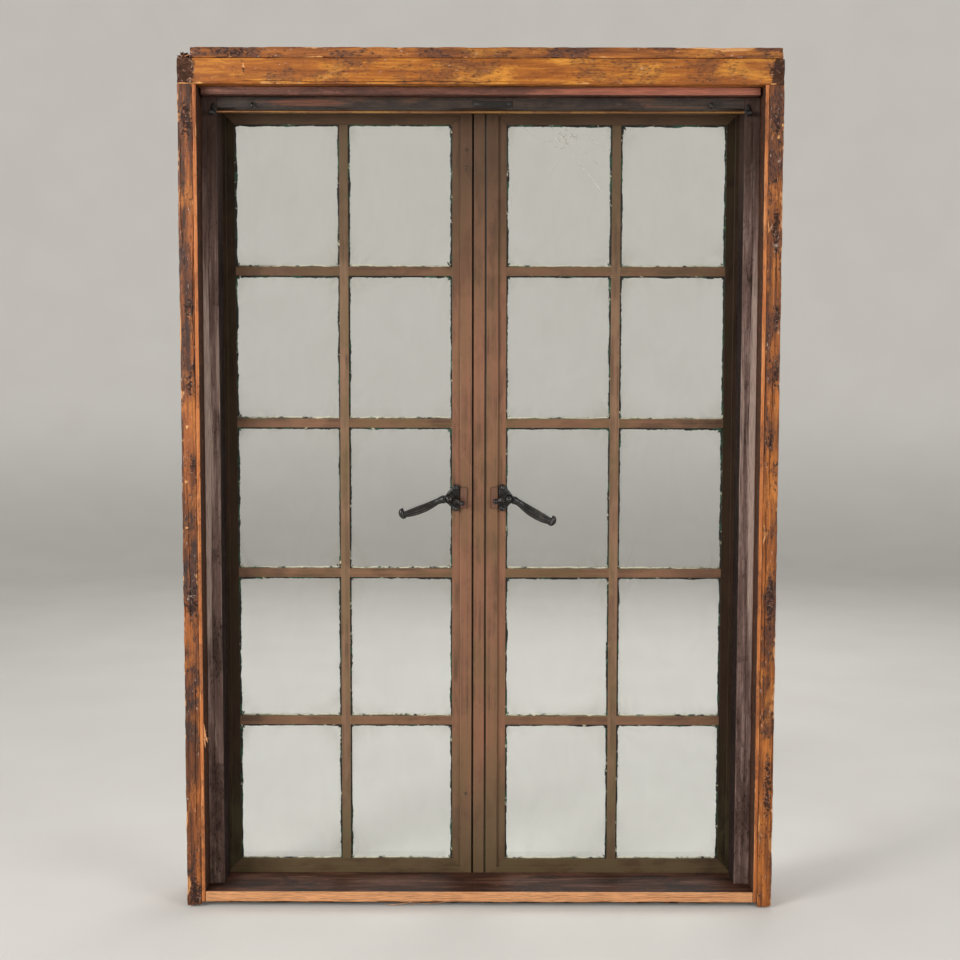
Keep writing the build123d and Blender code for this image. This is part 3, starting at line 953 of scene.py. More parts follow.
    def build(self) -> bpy.types.Object:
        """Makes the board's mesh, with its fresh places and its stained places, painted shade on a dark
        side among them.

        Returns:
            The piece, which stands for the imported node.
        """
        samples = self.samples()
        stations = self.stations()
        wear = self.corner_wear(stations)
        ends = [-1, *[0] * (len(stations) - 2), 1]
        shell = Shell(values={"bare": [], "stain": []})
        rings = []
        for along, worn, end in zip(stations, wear, ends):
            ring = []
            for sample in samples:
                point, bare, stain = self.shaped(sample, along, worn, end)
                ring.append(point)
                shell.values["bare"].append(bare)
                shell.values["stain"].append(stain)
            rings.append(ring)
        self.skin(shell, rings)
        made = shell.piece(self.name, self.finish)
        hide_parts(self.node)
        return made

    def skin(self, shell: Shell, rings: list[list[Point]]) -> None:
        """Joins the rings and closes both ends with smaller rings, rough where the end is broken."""
        sides = len(rings[0])
        faces = []
        for ring in range(len(rings) - 1):
            for side in range(sides):
                beside = (side + 1) % sides
                low, high = ring * sides, (ring + 1) * sides
                faces.append((low + side, low + beside, high + beside, high + side))
        points = [point for ring in rings for point in ring]
        for end, ring_index in enumerate((0, len(rings) - 1)):
            rim = [Vector(point) for point in rings[ring_index]]
            centre = sum(rim, Vector()) / sides
            centre[self.along.value] = self.start if end == 0 else self.end
            outer = list(range(ring_index * sides, (ring_index + 1) * sides))
            for shrink in self.end_rings:
                inner = []
                for point in rim:
                    placed = centre + (point - centre) * shrink
                    u, v = [placed[i] for i in range(3) if i != self.along.value]
                    missing = self.rag(u, v, self.ragged[end])
                    placed[self.along.value] = self.start + missing if end == 0 else self.end - missing
                    inner.append(len(points))
                    points.append(tuple(placed))
                for side in range(sides):
                    beside = (side + 1) % sides
                    quad = (outer[side], inner[side], inner[beside], outer[beside])
                    faces.append(quad if end == 0 else quad[::-1])
                outer = inner
            faces.append(tuple(outer)[::-1] if end == 0 else tuple(outer))
        extra = len(points) - len(shell.values["bare"])
        shell.values["bare"] += [self.end_bareness] * extra
        shell.values["stain"] += [self.end_stain] * extra
        shell.add(points, faces)


def corners_of(left: float, right: float, bottom: float, top: float) -> list[Span]:
    """The corners of a rectangle, from the lower left one round by the right."""
    return [(left, bottom), (right, bottom), (right, top), (left, top)]


def rectangle(node: str, along: Along) -> tuple[list[Span], float, float]:
    """The outline and ends of a packed board with square edges.

    Args:
        node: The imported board.
        along: The axis it runs along.

    Returns:
        Its outline across the grain, and where it starts and ends.
    """
    low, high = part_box(node)
    first, second = [axis for axis in range(3) if axis != along.value]
    outline = corners_of(low[first], high[first], low[second], high[second])
    return outline, low[along.value], high[along.value]


@dataclass
class Surround:
    """The salvaged timber surround: head, jambs, strips, liners, stool and sub-sill."""

    head_finish: TimberFinish = TimberFinish(
        "amber_timber", "aged_timber", Along.X, tone(126, 68, 24), tone(170, 98, 34), tone(204, 132, 46),
        tone(110, 66, 40), glow_share=0.75, pit_share=0.55, grime_share=0.5, contrast=0.75, gloss=0.42,
        shift=1.0)
    top_finish: TimberFinish = TimberFinish(
        "brown_timber", "aged_timber", Along.X, tone(96, 54, 28), tone(150, 86, 36), tone(190, 116, 48),
        tone(88, 56, 46), glow_share=0.4, grime_share=0.75, contrast=0.9, gloss=0.6, shift=4.0)
    left_finish: TimberFinish = TimberFinish(
        "grimy_timber", "aged_timber", Along.Z, tone(66, 38, 24), tone(118, 66, 34), tone(170, 96, 44),
        tone(62, 44, 40), glow=tone(216, 132, 58), glow_share=0.6, grime_share=0.8, contrast=1.0, shift=7.0)
    right_finish: TimberFinish = TimberFinish(
        "orange_timber", "aged_timber", Along.Z, tone(90, 48, 22), tone(146, 82, 34), tone(190, 112, 48),
        tone(78, 48, 38), glow=tone(222, 140, 62), glow_share=0.5, grime_share=0.7, contrast=1.0,
        shift=11.0)
    strip_finish: TimberFinish = TimberFinish(
        "pale_strip", "light_timber", Along.Z, tone(156, 84, 38), tone(196, 118, 62), tone(226, 154, 96),
        tone(120, 66, 38), stain=tone(24, 15, 11), fleck=tone(44, 28, 20), grime_share=0.5, pit_share=0.4,
        gloss=0.5, shift=13.0)
    soffit_finish: TimberFinish = TimberFinish(
        "rosy_soffit", "stained_timber", Along.X, tone(76, 48, 40), tone(106, 68, 56), tone(146, 96, 78),
        tone(70, 48, 42), bare=tone(186, 112, 88), fleck=tone(150, 110, 96), grime_share=0.4, pit_share=0.4,
        contrast=0.7, gloss=0.42, shift=17.0)
    # The near-black stain, pit and fleck colours paint the shade on the liners' inner sides; the pale bare
    # colour also paints reflection on their faces
    liner_finish: TimberFinish = TimberFinish(
        "purple_liner", "stained_timber", Along.Z, tone(94, 72, 66), tone(130, 105, 97),
        tone(168, 142, 132), tone(66, 50, 44), bare=tone(208, 182, 168), stain=tone(20, 14, 11),
        fleck=tone(34, 25, 21), pit=tone(14, 10, 8), grime_share=0.5, pit_share=0.5, contrast=0.8,
        end_shade=0.85, sheen=0.06, shift=19.0)
    head_liner_finish: TimberFinish = TimberFinish(
        "dark_head_liner", "stained_timber", Along.X, tone(44, 34, 29), tone(68, 54, 46), tone(104, 72, 56),
        tone(36, 31, 28), bare=tone(126, 74, 52), fleck=tone(96, 80, 70), grime_share=0.6, pit_share=0.6,
        contrast=0.8, gloss=0.45, shift=23.0)
    stool_finish: TimberFinish = TimberFinish(
        "stained_stool", "stool_timber", Along.X, tone(44, 27, 21), tone(78, 48, 34), tone(110, 76, 62),
        tone(46, 38, 36), bare=tone(238, 172, 120), stain=tone(112, 60, 34), fleck=tone(170, 108, 70),
        grime_share=0.6, pit_share=0.6, contrast=0.9, gloss=0.45, sheen=0.12, shift=29.0)
    sill_finish: TimberFinish = TimberFinish(
        "weathered_sill", "aged_timber", Along.X, tone(36, 27, 21), tone(62, 47, 36), tone(92, 72, 54),
        tone(26, 20, 17), grime_share=0.8, contrast=0.9, gloss=0.7, shift=31.0)

    def boards(self) -> list[Board]:
        """The boards, each with its own wear.

        Returns:
            Boards that are ready to build.
        """
        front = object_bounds()[0].y
        jamb_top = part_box("left_jamb")[1].z
        head, head_low, head_high = rectangle("head_timber", Along.X)
        head = [(head[0][0], jamb_top), (head[1][0], jamb_top), head[2], head[3]]
        end_height = jamb_top + 0.028
        head_patches = [
            *face_patches(Look.STAIN, front, 0.03, 1.0, [(-0.583, end_height, 0.042, 0.06),
                                                         (0.583, end_height, 0.034, 0.06)]),
            *face_patches(Look.BARE, front, 0.01, 1.0, [(-0.576, 1.6305, 0.014, 0.003),
                                                        (0.566, 1.6305, 0.008, 0.003)]),
            Patch(Look.BARE, (-0.4575, front, 1.664), (0.004, 0.01, 0.007), 0.9),
            Patch(Look.STAIN, (-0.4575, front, 1.655), (0.004, 0.01, 0.006), 0.7),
            Patch(Look.STAIN, (-0.24, front, 1.668), (0.03, 0.01, 0.006), 0.55),
        ]
        return [
            Board("head", "head_timber", Along.X, head, head_low, head_high, self.head_finish, 11,
                  chips={0: 34, 3: 22}, chip_size=2.6 * MM, ragged=(3 * MM, 3 * MM),
                  cracks=[Crack(3, 0.0445, -0.53, 0.1, depth=1.6 * MM)],
                  patches=head_patches),
            self.lip(jamb_top),
            self.square("top_board", "head_top_board", Along.X, self.top_finish, 12,
                        chips={0: 26, 3: 44, 2: 14}, chip_size=4 * MM, ragged=(16 * MM, 7 * MM),
                        patches=[Patch(Look.BARE, (0.488, front, 1.698), (0.06, 0.03, 0.009), 1.0),
                                 Patch(Look.BARE, (0.43, front, 1.699), (0.05, 0.02, 0.004), 0.9),
                                 Patch(Look.STAIN, (-0.48, front, 1.69), (0.07, 0.01, 0.012), 0.55),
                                 Patch(Look.STAIN, (-0.565, front, 1.68), (0.014, 0.03, 0.016), 0.9)]),
            self.jamb(Side.LEFT),
            self.jamb(Side.RIGHT),
            self.square("left_strip", "left_jamb_strip", Along.Z, self.strip_finish, 15,
                        chips={0: 30, 1: 26}, dark_side=1, **self.strip_wear()),
            self.square("right_strip", "right_jamb_strip", Along.Z, self.strip_finish, 16,
                        chips={0: 26, 1: 18}, dark_side=3, **self.strip_wear()),
            self.square("soffit", "soffit_board", Along.X, self.soffit_finish, 17,
                        chips={0: 20}, chip_size=1.6 * MM,
                        patches=[Patch(Look.BARE, (0.36, front + 0.025, 1.62),
                                       (0.5, 0.012, 0.02), 0.62)]),
            self.liner(Side.LEFT),
            self.liner(Side.RIGHT),
            self.square("head_liner_board", "head_liner", Along.X, self.head_liner_finish, 20,
                        arris=0.9 * MM,
                        patches=[Patch(Look.BARE, (-0.34, front + 0.052, 1.602),
                                       (0.16, 0.02, 0.014), 0.62)]),
            self.stool(),
            self.sub_sill(),
        ]

    def strip_wear(self) -> dict[str, float]:
        """The light wear that both strips have."""
        return {"arris": 0.6 * MM, "chip_size": 1.8 * MM, "waves": 0.3 * MM}

    def square(self, name: str, node: str, along: Along, finish: TimberFinish, seed: int,
               **wear: object) -> Board:
        """A board with a square outline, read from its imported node."""
        outline, start, end = rectangle(node, along)
        return Board(name, node, along, outline, start, end, finish, seed, **wear)

    def lip(self, jamb_top: float) -> Board:
        """The lower lip of the head over the steel frame."""
        low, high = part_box("head_timber")
        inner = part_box("left_jamb")[1].x
        steel_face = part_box("frame_head")[0].y
        outline = corners_of(steel_face, high.y, low.z, jamb_top)
        return Board("head_lip", "head_timber", Along.X, outline, inner, -inner, self.top_finish, 21,
                     waves=0.2 * MM)

    def jamb(self, side: Side) -> Board:
        """A jamb with the rebate that its light strip lies in.

        Each of its splits has its place across the front, its two ends, and its width and depth in
        millimetres.
        """
        low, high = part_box(side.named("jamb"))
        strip_low, strip_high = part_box(side.named("jamb_strip"))
        if side is Side.RIGHT:
            outline = [
                (strip_high.x, low.y), (high.x, low.y), (high.x, high.y), (low.x, high.y),
                (low.x, strip_high.y), (strip_high.x, strip_high.y),
            ]
            seed, finish, worn = 14, self.right_finish, {0: 50, 1: 110}
            splits = [(0.007, 0.45, 0.84, 1.4, 2.6), (0.0135, 0.8, 1.1, 1.3, 2.4),
                      (0.0195, 1.22, 1.5, 1.3, 2.0), (0.0255, 0.08, 0.42, 1.3, 2.0)]
            patches = face_patches(Look.STAIN, low.y, 0.012, 0.66, [
                (0.575, 1.56, 0.012, 0.05), (0.575, 1.35, 0.012, 0.08), (0.58, 1.19, 0.007, 0.05),
                (0.579, 1.07, 0.007, 0.045), (0.57, 0.94, 0.01, 0.035), (0.575, 0.62, 0.012, 0.1),
                (0.575, 0.25, 0.012, 0.1)])
            patches += face_patches(Look.BARE, low.y, 0.012, 0.8, [
                (0.585, 1.5526, 0.0048, 0.006), (0.5776, 1.5297, 0.0048, 0.006),
                (0.587, 1.5106, 0.0048, 0.006)])
            patches += face_patches(Look.STAIN, low.y, 0.01, 1.0, [(0.5729, 1.4456, 0.005, 0.007)])
        else:
            outline = [
                (low.x, low.y), (strip_low.x, low.y), (strip_low.x, strip_high.y), (high.x, strip_high.y),
                (high.x, high.y), (low.x, high.y),
            ]
            seed, finish, worn = 13, self.left_finish, {0: 120, 1: 40}
            splits = [(0.0205, 0.15, 0.5, 1.4, 2.5), (0.013, 0.55, 0.86, 1.3, 2.0),
                      (0.0255, 1.1, 1.34, 1.3, 2.0), (0.0065, 1.3, 1.55, 1.3, 2.0)]
            patches = face_patches(Look.STAIN, low.y, 0.02, 0.66, [
                (-0.57, 1.56, 0.02, 0.06), (-0.568, 1.2, 0.016, 0.03), (-0.57, 1.05, 0.01, 0.05),
                (-0.566, 0.893, 0.009, 0.03), (-0.57, 0.62, 0.02, 0.06), (-0.57, 0.03, 0.02, 0.06)])
            patches += face_patches(Look.BARE, low.y, 0.01, 1.0, [
                (-0.5748, 0.9666, 0.005, 0.005), (-0.578, 0.8583, 0.005, 0.005),
                (-0.578, 0.7672, 0.005, 0.005)])
            patches += face_patches(Look.BARE, low.y, 0.012, 0.95, [
                (low.x, 1.15, 0.005, 0.08), (low.x, 0.18, 0.005, 0.03), (low.x, 0.055, 0.005, 0.02)])
        cracks = [Crack(0, across, start, end, width * MM, depth * MM)
                  for across, start, end, width, depth in splits]
        return Board(side.named("post"), side.named("jamb"), Along.Z, outline, low.z, high.z, finish, seed,
                     chips=worn, chip_size=3.6 * MM, waves=1.0 * MM, ragged=(11 * MM, 0.0), cracks=cracks,
                     patches=patches, step_across=5 * MM, step_along=4 * MM)

    def liner(self, side: Side) -> Board:
        """A liner with the joint line of its planted stop."""
        low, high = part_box(side.named("liner"))
        outward = side.outward
        joint = outward * 0.537
        joint_line = Crack(0, joint - low.x, low.z - 0.01, high.z + 0.01, width=1.5 * MM, depth=1.5 * MM)
        # Painted shade: the dark side is the liner's inner side, which lies in shadow
        seed, dark_side = (18, 1) if side is Side.LEFT else (19, 3)
        return self.square(side.named("liner_board"), side.named("liner"), Along.Z, self.liner_finish, seed,
                           arris=0.9 * MM, dark_side=dark_side, cracks=[joint_line],
                           patches=[
                               # Long pale patches: stain flaked off the face, and painted reflection on it
                               Patch(Look.BARE, (outward * 0.546, low.y, 0.9), (0.02, 0.02, 0.72), 0.72),
                               Patch(Look.BARE, (outward * 0.522, low.y, 0.95), (0.012, 0.02, 0.5), 0.52)])

    def stool(self) -> Board:
        """The stool, whose front edge is fresh sawn wood."""
        outline, start, end = rectangle("stool_board", Along.X)
        front = outline[0][0]
        middle = (outline[0][1] + outline[2][1]) / 2
        patches = [Patch(Look.BARE, (0.0, front, middle), (9.0, 0.004, 9.0), 1.2),
                   Patch(Look.STAIN, (0.479, front, middle), (0.02, 0.01, 0.004), 0.8),
                   Patch(Look.STAIN, (-0.36, front, middle - 0.004), (0.05, 0.01, 0.003), 0.5)]
        return Board("stool", "stool_board", Along.X, outline, start, end, self.stool_finish, 22,
                     arris=0.8 * MM, chips={0: 60, 3: 16}, chip_size=2.4 * MM,
                     cracks=[Crack(3, 0.010, 0.3, 0.53, depth=2 * MM)], patches=patches)

    def sub_sill(self) -> Board:
        """The rough sub-sill, stepped down under the steel frame."""
        low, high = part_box("sub_sill")
        steel_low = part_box("frame_sill")[0]
        outline = [
            (low.y, low.z), (high.y, low.z), (high.y, steel_low.z), (steel_low.y, steel_low.z),
            (steel_low.y, high.z), (low.y, high.z),
        ]
        return Board("sill_base", "sub_sill", Along.X, outline, low.x, high.x, self.sill_finish, 23,
                     chips={0: 70}, chip_size=4 * MM)

    def build(self) -> None:
        """Builds every board."""
        for board in self.boards():
            board.build()


def ball(centre: Point, radius: float, squeeze: Point = (1, 1, 1), rows: int = 8,
         sides: int = 14) -> list[list[Point]]:
    """Rings of a rounded lump, from its room side to its back.

    Args:
        centre: Its middle.
        radius: Its radius.
        squeeze: How much each axis keeps of the radius.
        rows: Rings from pole to pole.
        sides: Points in each ring.

    Returns:
        The rings.
    """
    rings = []
    for row in range(rows):
        lean = math.pi * (row + 0.35) / (rows - 0.3)
        rings.append([(
            centre[0] + radius * squeeze[0] * math.sin(lean) * math.cos(-turn),
            centre[1] - radius * squeeze[1] * math.cos(lean),
            centre[2] + radius * squeeze[2] * math.sin(lean) * math.sin(-turn),
        ) for turn in circle(sides)])
    return rings


@dataclass
class Screw:
    """A slotted screw with a low domed head that faces the room."""

    centre: Point
    radius: float
    turn: float
    facing: int = -1

    def add_to(self, shell: Shell) -> None:
        """Adds the head to a shell, as a dome with a sunk slot."""
        slot_half, slot_depth = 0.16, 0.25
        cos_turn, sin_turn = math.cos(self.turn), math.sin(self.turn)
        rings = []
        for height, share in ((0.0, 1.0), (0.28, 1.0), (0.5, 0.9), (0.6, 0.62), (0.62, 0.0)):
            ring = []
            for angle in circle(20):
                across, up = share * math.cos(angle), share * math.sin(-self.facing * angle)
                sunk = height > 0.3 and abs(up) < slot_half
                ring.append((
                    self.centre[0] + self.radius * (across * cos_turn - up * sin_turn),
                    self.centre[1] + self.facing * self.radius * (height - slot_depth if sunk else height),
                    self.centre[2] + self.radius * (across * sin_turn + up * cos_turn),
                ))
            rings.append(ring)
        shell.tube(rings)


def soften(node: str, radius: float, finish: Finish, rubbed: Finish | None = None) -> None:
    """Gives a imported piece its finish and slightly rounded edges.

    Args:
        node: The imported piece.
        radius: Radius of its edges in metres.
        finish: Its finish.
        rubbed: The finish of its rounded edges, where that differs.
    """
    packed = frame["nodes"][node]
    packed.data.materials.clear()
    packed.data.materials.append(material_of(finish))
    if rubbed:
        packed.data.materials.append(material_of(rubbed))
    weld = packed.modifiers.new("weld", "WELD")
    weld.merge_threshold = 0.01 * MM
    if radius > 0:
        bevel = packed.modifiers.new("soft_edges", "BEVEL")
        bevel.width = radius
        bevel.segments = 2
        bevel.limit_method = "ANGLE"
        bevel.angle_limit = math.radians(30)
        if rubbed:
            bevel.material = 1


def levels(node: str, axis: int) -> list[float]:
    """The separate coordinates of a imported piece's corners along one axis, in order."""
    found: list[float] = []
    for value in sorted(vertex.co[axis] for vertex in frame["nodes"][node].data.vertices):
        if not found or value - found[-1] > 0.05 * MM:
            found.append(value)
    return found


@dataclass
class Leaf:
    """One glazed steel leaf: its paint, old glass, bed putty and outside hinges."""

    side: Side
    seed: int
    stile_finish: PaintFinish = PaintFinish()
    # Painted shade: a darker copy of the stile paint, for the hinge stiles in the liners' shadow and for
    # the paint bead's dark line
    hinge_shade_finish: PaintFinish = PaintFinish(
        "painted_shade_olive_paint", umber=tone(40, 29, 20), brown=tone(58, 44, 31), rosy=tone(70, 50, 38),
        olive=tone(52, 43, 24), rust=tone(52, 30, 20), rosy_share=0.6, olive_share=0.7, painted_top_shade_share=0.0,
        sheen=0.15, shift=2.0)
    bar_finish: PaintFinish = PaintFinish(
        "worn_tan_paint", umber=tone(90, 69, 48), brown=tone(126, 99, 72), rosy=tone(156, 116, 92),
        olive=tone(112, 94, 62), painted_top_shade=tone(84, 66, 44), rosy_share=0.6, olive_share=0.55, shift=5.0)
    rail_finish: PaintFinish = PaintFinish(
        "worn_rail_paint", umber=tone(76, 57, 40), brown=tone(116, 86, 60), rosy=tone(146, 102, 78),
        olive=tone(106, 84, 52), grain=Along.X, rosy_share=0.55, olive_share=0.6, shift=9.0)
    # Near-black: dark old putty, and painted shade under the bars round each pane
    bed_and_shade_finish: PuttyFinish = PuttyFinish(
        "bed_putty", tone(15, 17, 12), green=tone(36, 76, 54), pale_share=0.85)
    face_finish: PuttyFinish = PuttyFinish("face_putty", tone(96, 92, 72), pale_share=0.25)
    glass_finish: GlassFinish = GlassFinish()
    iron_finish: IronFinish = IronFinish()
    # Lighter paint on the rounded edges: rubbed paint, and painted highlight where the edges catch light
    rubbed_highlight_finish: PaintFinish = PaintFinish(
        "rubbed_and_highlit_arris", umber=tone(88, 62, 44), brown=tone(130, 98, 74), rosy=tone(172, 134, 106),
        olive=tone(108, 88, 58), sheen=0.1, shift=33.0)
    edge_radius: float = 0.6 * MM
    bed_width: float = 3.4 * MM
    bed_thickness: float = 2.0 * MM
    bed_step: float = 2.2 * MM
    bed_corner: float = 9 * MM
    glass_waves: float = 0.10 * MM
    pane_cells: tuple[int, int] = (16, 20)
    film_least: float = 0.02
    film_edge: float = 0.2
    bead_reach: float = 2.7 * MM
    pin_inset: float = 9.5 * MM
    plate_thickness: float = 2 * MM
    screw_inset: float = 13 * MM
    screw_radius: float = 3 * MM

    def node(self, part: str) -> str:
        """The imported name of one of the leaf's parts."""
        return self.side.named("leaf_" + part)

    def sight_columns(self) -> list[Span]:
        """Left and right edges of the two columns of glass between steel."""
        stiles = [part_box(self.node("hinge_stile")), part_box(self.node("meeting_stile"))]
        stiles.sort(key=lambda box: box[0].x)
        bar_low, bar_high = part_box(self.node("vertical_bar"))
        return [(stiles[0][1].x, bar_low.x), (bar_high.x, stiles[1][0].x)]

    def sight_rows(self) -> list[Span]:
        """Lower and upper edges of the rows of glass between steel."""
        bars = levels(self.node("cross_bars"), 2)
        lows = [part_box(self.node("bottom_rail"))[1].z, *bars[3::4]]
        highs = [*bars[0::4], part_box(self.node("top_rail"))[0].z]
        return list(zip(lows, highs))

    def build(self) -> None:
        """Paints the steel and builds the glass, putty and hinge screws."""
        soften(self.node("hinge_stile"), self.edge_radius, self.hinge_shade_finish)
        soften(self.node("meeting_stile"), self.edge_radius, self.stile_finish, self.rubbed_highlight_finish)
        for part in ("top_rail", "bottom_rail", "cross_bars"):
            soften(self.node(part), self.edge_radius, self.rail_finish, self.rubbed_highlight_finish)
        soften(self.node("vertical_bar"), self.edge_radius, self.bar_finish, self.rubbed_highlight_finish)
        soften(self.node("putty"), 0.0, self.face_finish)
        soften(self.node("hinges"), self.edge_radius, self.rail_finish)
        self.panes()
        self.bed()
        if self.side is Side.RIGHT:
            self.paint_bead()
        self.hinge_details()

    def panes(self) -> bpy.types.Object:
        """Ten slightly wavy panes, each with its own waves and film of dust.

        Returns:
            The piece with all the panes.
        """
        node = self.node("glass")
        room_side, outside = levels(node, 1)
        columns = levels(node, 0)
        rows = levels(node, 2)
        shell = Shell(values={"film": []})
        for column in zip(columns[0::2], columns[1::2]):
            for row in zip(rows[0::2], rows[1::2]):
                self.pane(shell, column, row, (room_side, outside))
        made = shell.piece(self.side.named("panes"), self.glass_finish, sharp=60)
        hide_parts(node)
        return made

    def pane(self, shell: Shell, column: Span, row: Span, depth: Span) -> None:
        """Adds one pane, with both of its faces in waves and dust along its edges.

        Args:
            shell: The panes so far.
            column: Its left and right edge.
            row: Its lower and upper edge.
            depth: Where its room side and its outside lie.
        """
        (left, right), (low, high) = column, row
        across, up = self.pane_cells
        seed = self.seed + left * 17 + low * 5
        points = []
        for back in (False, True):
            for j in range(up + 1):
                for i in range(across + 1):
                    x = left + (right - left) * i / across
                    z = low + (high - low) * j / up
                    wave = self.glass_waves * grain_noise(x * 22, z * 9, 0.0, seed)
                    points.append((x, depth[1] - wave if back else depth[0] + wave, z))
                    edge = min(i, across - i) / across * 5 * min(j, up - j) / up * 5
                    shell.values["film"].append(self.film_least + self.film_edge * max(0.0, 1 - edge) ** 3)
        wide = across + 1
        count = wide * (up + 1)
        faces = []
        for j in range(up):
            for i in range(across):
                a = j * wide + i
                faces.append((a, a + 1, a + 1 + wide, a + wide))
                faces.append((count + a, count + a + wide, count + a + 1 + wide, count + a + 1))
        rim = list(range(across))
        rim += [across + j * wide for j in range(up)]
        rim += [up * wide + across - i for i in range(across)]
        rim += [(up - j) * wide for j in range(up)]
        faces += [(first, count + first, count + second, second)
                  for first, second in zip(rim, rim[1:] + rim[:1])]
        shell.add(points, faces)

    def bed(self) -> bpy.types.Object:
        """Ragged bed putty that shows round each pane on the room side; its near-black colour is dark putty
        and painted shade.

        Returns:
            The piece with the putty of all the panes.
        """
        glass_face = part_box(self.node("glass"))[0].y
        shell = Shell()
        for column in self.sight_columns():
            for row in self.sight_rows():
                shell.tube(self.bed_rings(column, row, glass_face), closed=True)
        return shell.piece(self.side.named("bed_putty"), self.bed_and_shade_finish, sharp=50)

    def bed_rings(self, column: Span, row: Span, face: float) -> list[list[Point]]:
        """Cuts through the putty of one pane, one for each few millimetres of its edge.

        Args:
            column: Left and right edge of the opening.
            row: Lower and upper edge of the opening.
            face: Where the glass starts.

        Returns:
            Rings of five points, from the steel to the glass.
        """
        corners = corners_of(*column, *row)
        rings = []
        travelled = 0.0
        seed = self.seed + column[0] * 31 + row[0] * 13
        for first, second in zip(corners, corners[1:] + corners[:1]):
            run = Vector(second) - Vector(first)
            length = run.length
            run.normalize()
            inward = Vector((-run.y, run.x))
            count = max(4, round(length / self.bed_step))
            for index in range(count):
                at = length * index / count
                from_corner = min(at, length - at)
                wide = grain_noise((travelled + at) * 30, 0.0, 1.0, seed)
                fine = grain_noise((travelled + at) * 190, 0.0, 5.0, seed)
                tooth = grain_noise((travelled + at) * 330, 2.0, 7.0, seed)
                width = self.bed_width * (0.1 + 1.2 * wide ** 1.5 + 0.6 * fine + 0.7 * tooth ** 2)
                width += 4.5 * MM * max(0.0, 1 - from_corner / self.bed_corner) ** 2 * (0.3 + wide)
                thick = self.bed_thickness * (0.5 + 0.5 * fine)
                inset = inward
                if from_corner <= self.bed_step / 4:
                    inset = inward + Vector((inward.y, -inward.x))
                base = Vector(first) + run * at
                ring = []
                for share, depth in ((-0.25, -0.2 * MM), (-0.25, thick), (0.6, thick * 0.9),
                                     (1.0, 0.15 * MM), (1.0, -0.2 * MM)):
                    spot = base + inset * (width * share if share > 0 else -0.5 * MM)
                    ring.append((spot.x, face - depth, spot.y))
                rings.append(ring[::-1])
            travelled += length
        return rings

    def paint_bead(self) -> bpy.types.Object:
        """The bead of old paint that narrows the gap between this leaf and the mullion.

        Returns:
            The bead, which sits on the leaf's edge.
        """
        node = self.node("meeting_stile")
        low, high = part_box(node)
        corners = [vertex.co for vertex in frame["nodes"][node].data.vertices]
        edge_x = min(corner.x for corner in corners if corner.y < low.y + 0.1 * MM)
        outer, inner = edge_x + 0.2 * MM, edge_x - self.bead_reach
        face = low.y + 0.4 * MM
        end_gap, count = 8 * MM, 160
        rings = []
        for index in range(count + 1):
            z = low.z + end_gap + (high.z - low.z - 2 * end_gap) * index / count
            edge = inner + 0.9 * MM * grain_noise(z * 45, 1.0, 1.0, self.seed) ** 2
            sink = 0.5 * MM * grain_noise(z * 60, 4.0, 1.0, self.seed)
            back = face + 4 * MM
            rings.append([(edge, face + sink + 0.7 * MM, z), ((edge + outer) / 2, face + sink, z),
                          (outer, face, z), (outer, back, z), (edge, back, z)])
        shell = Shell()
        shell.tube(rings)
        # Painted shade: the bead takes the darker paint, so that it reads as a dark gap line
        return shell.piece(self.side.named("paint_bead"), self.hinge_shade_finish)

    def hinge_details(self) -> bpy.types.Object:
        """Screws on the hinge plates and the joint lines between the knuckles.

        Returns:
            The piece with all of them.
        """
        low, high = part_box(self.node("hinges"))
        outward = self.side.outward
        edges = levels(self.node("hinges"), 2)
        middle = (low.z + high.z) / 2
        spans = [(edges[0], max(edge for edge in edges if edge < middle)),
                 (min(edge for edge in edges if edge > middle), edges[-1])]
        pin_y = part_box("frame_head")[1].y
        leaf_plate_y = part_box(self.node("hinge_stile"))[1].y + self.plate_thickness
        pin_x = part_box("frame_" + self.side.value)[0 if outward < 0 else 1].x - outward * self.pin_inset
        shell = Shell()
        for bottom, top in spans:
            for share in (0.15, 0.5, 0.85):
                z = bottom + (top - bottom) * share
                place = (pin_x - outward * self.screw_inset, leaf_plate_y, z)
                Screw(place, self.screw_radius, z * 40, 1).add_to(shell)
            for share in (0.2, 0.4, 0.6, 0.8):
                z = bottom + (top - bottom) * share
                path = [Vector((pin_x, pin_y, z + offset * MM)) for offset in (-0.6, -0.45, 0.45, 0.6)]
                shell.tube(bent_tube(path, [radius * MM for radius in (3.3, 3.75, 3.75, 3.3)], 20, ACROSS))
        return shell.piece(self.side.named("hinge_fittings"), self.iron_finish)


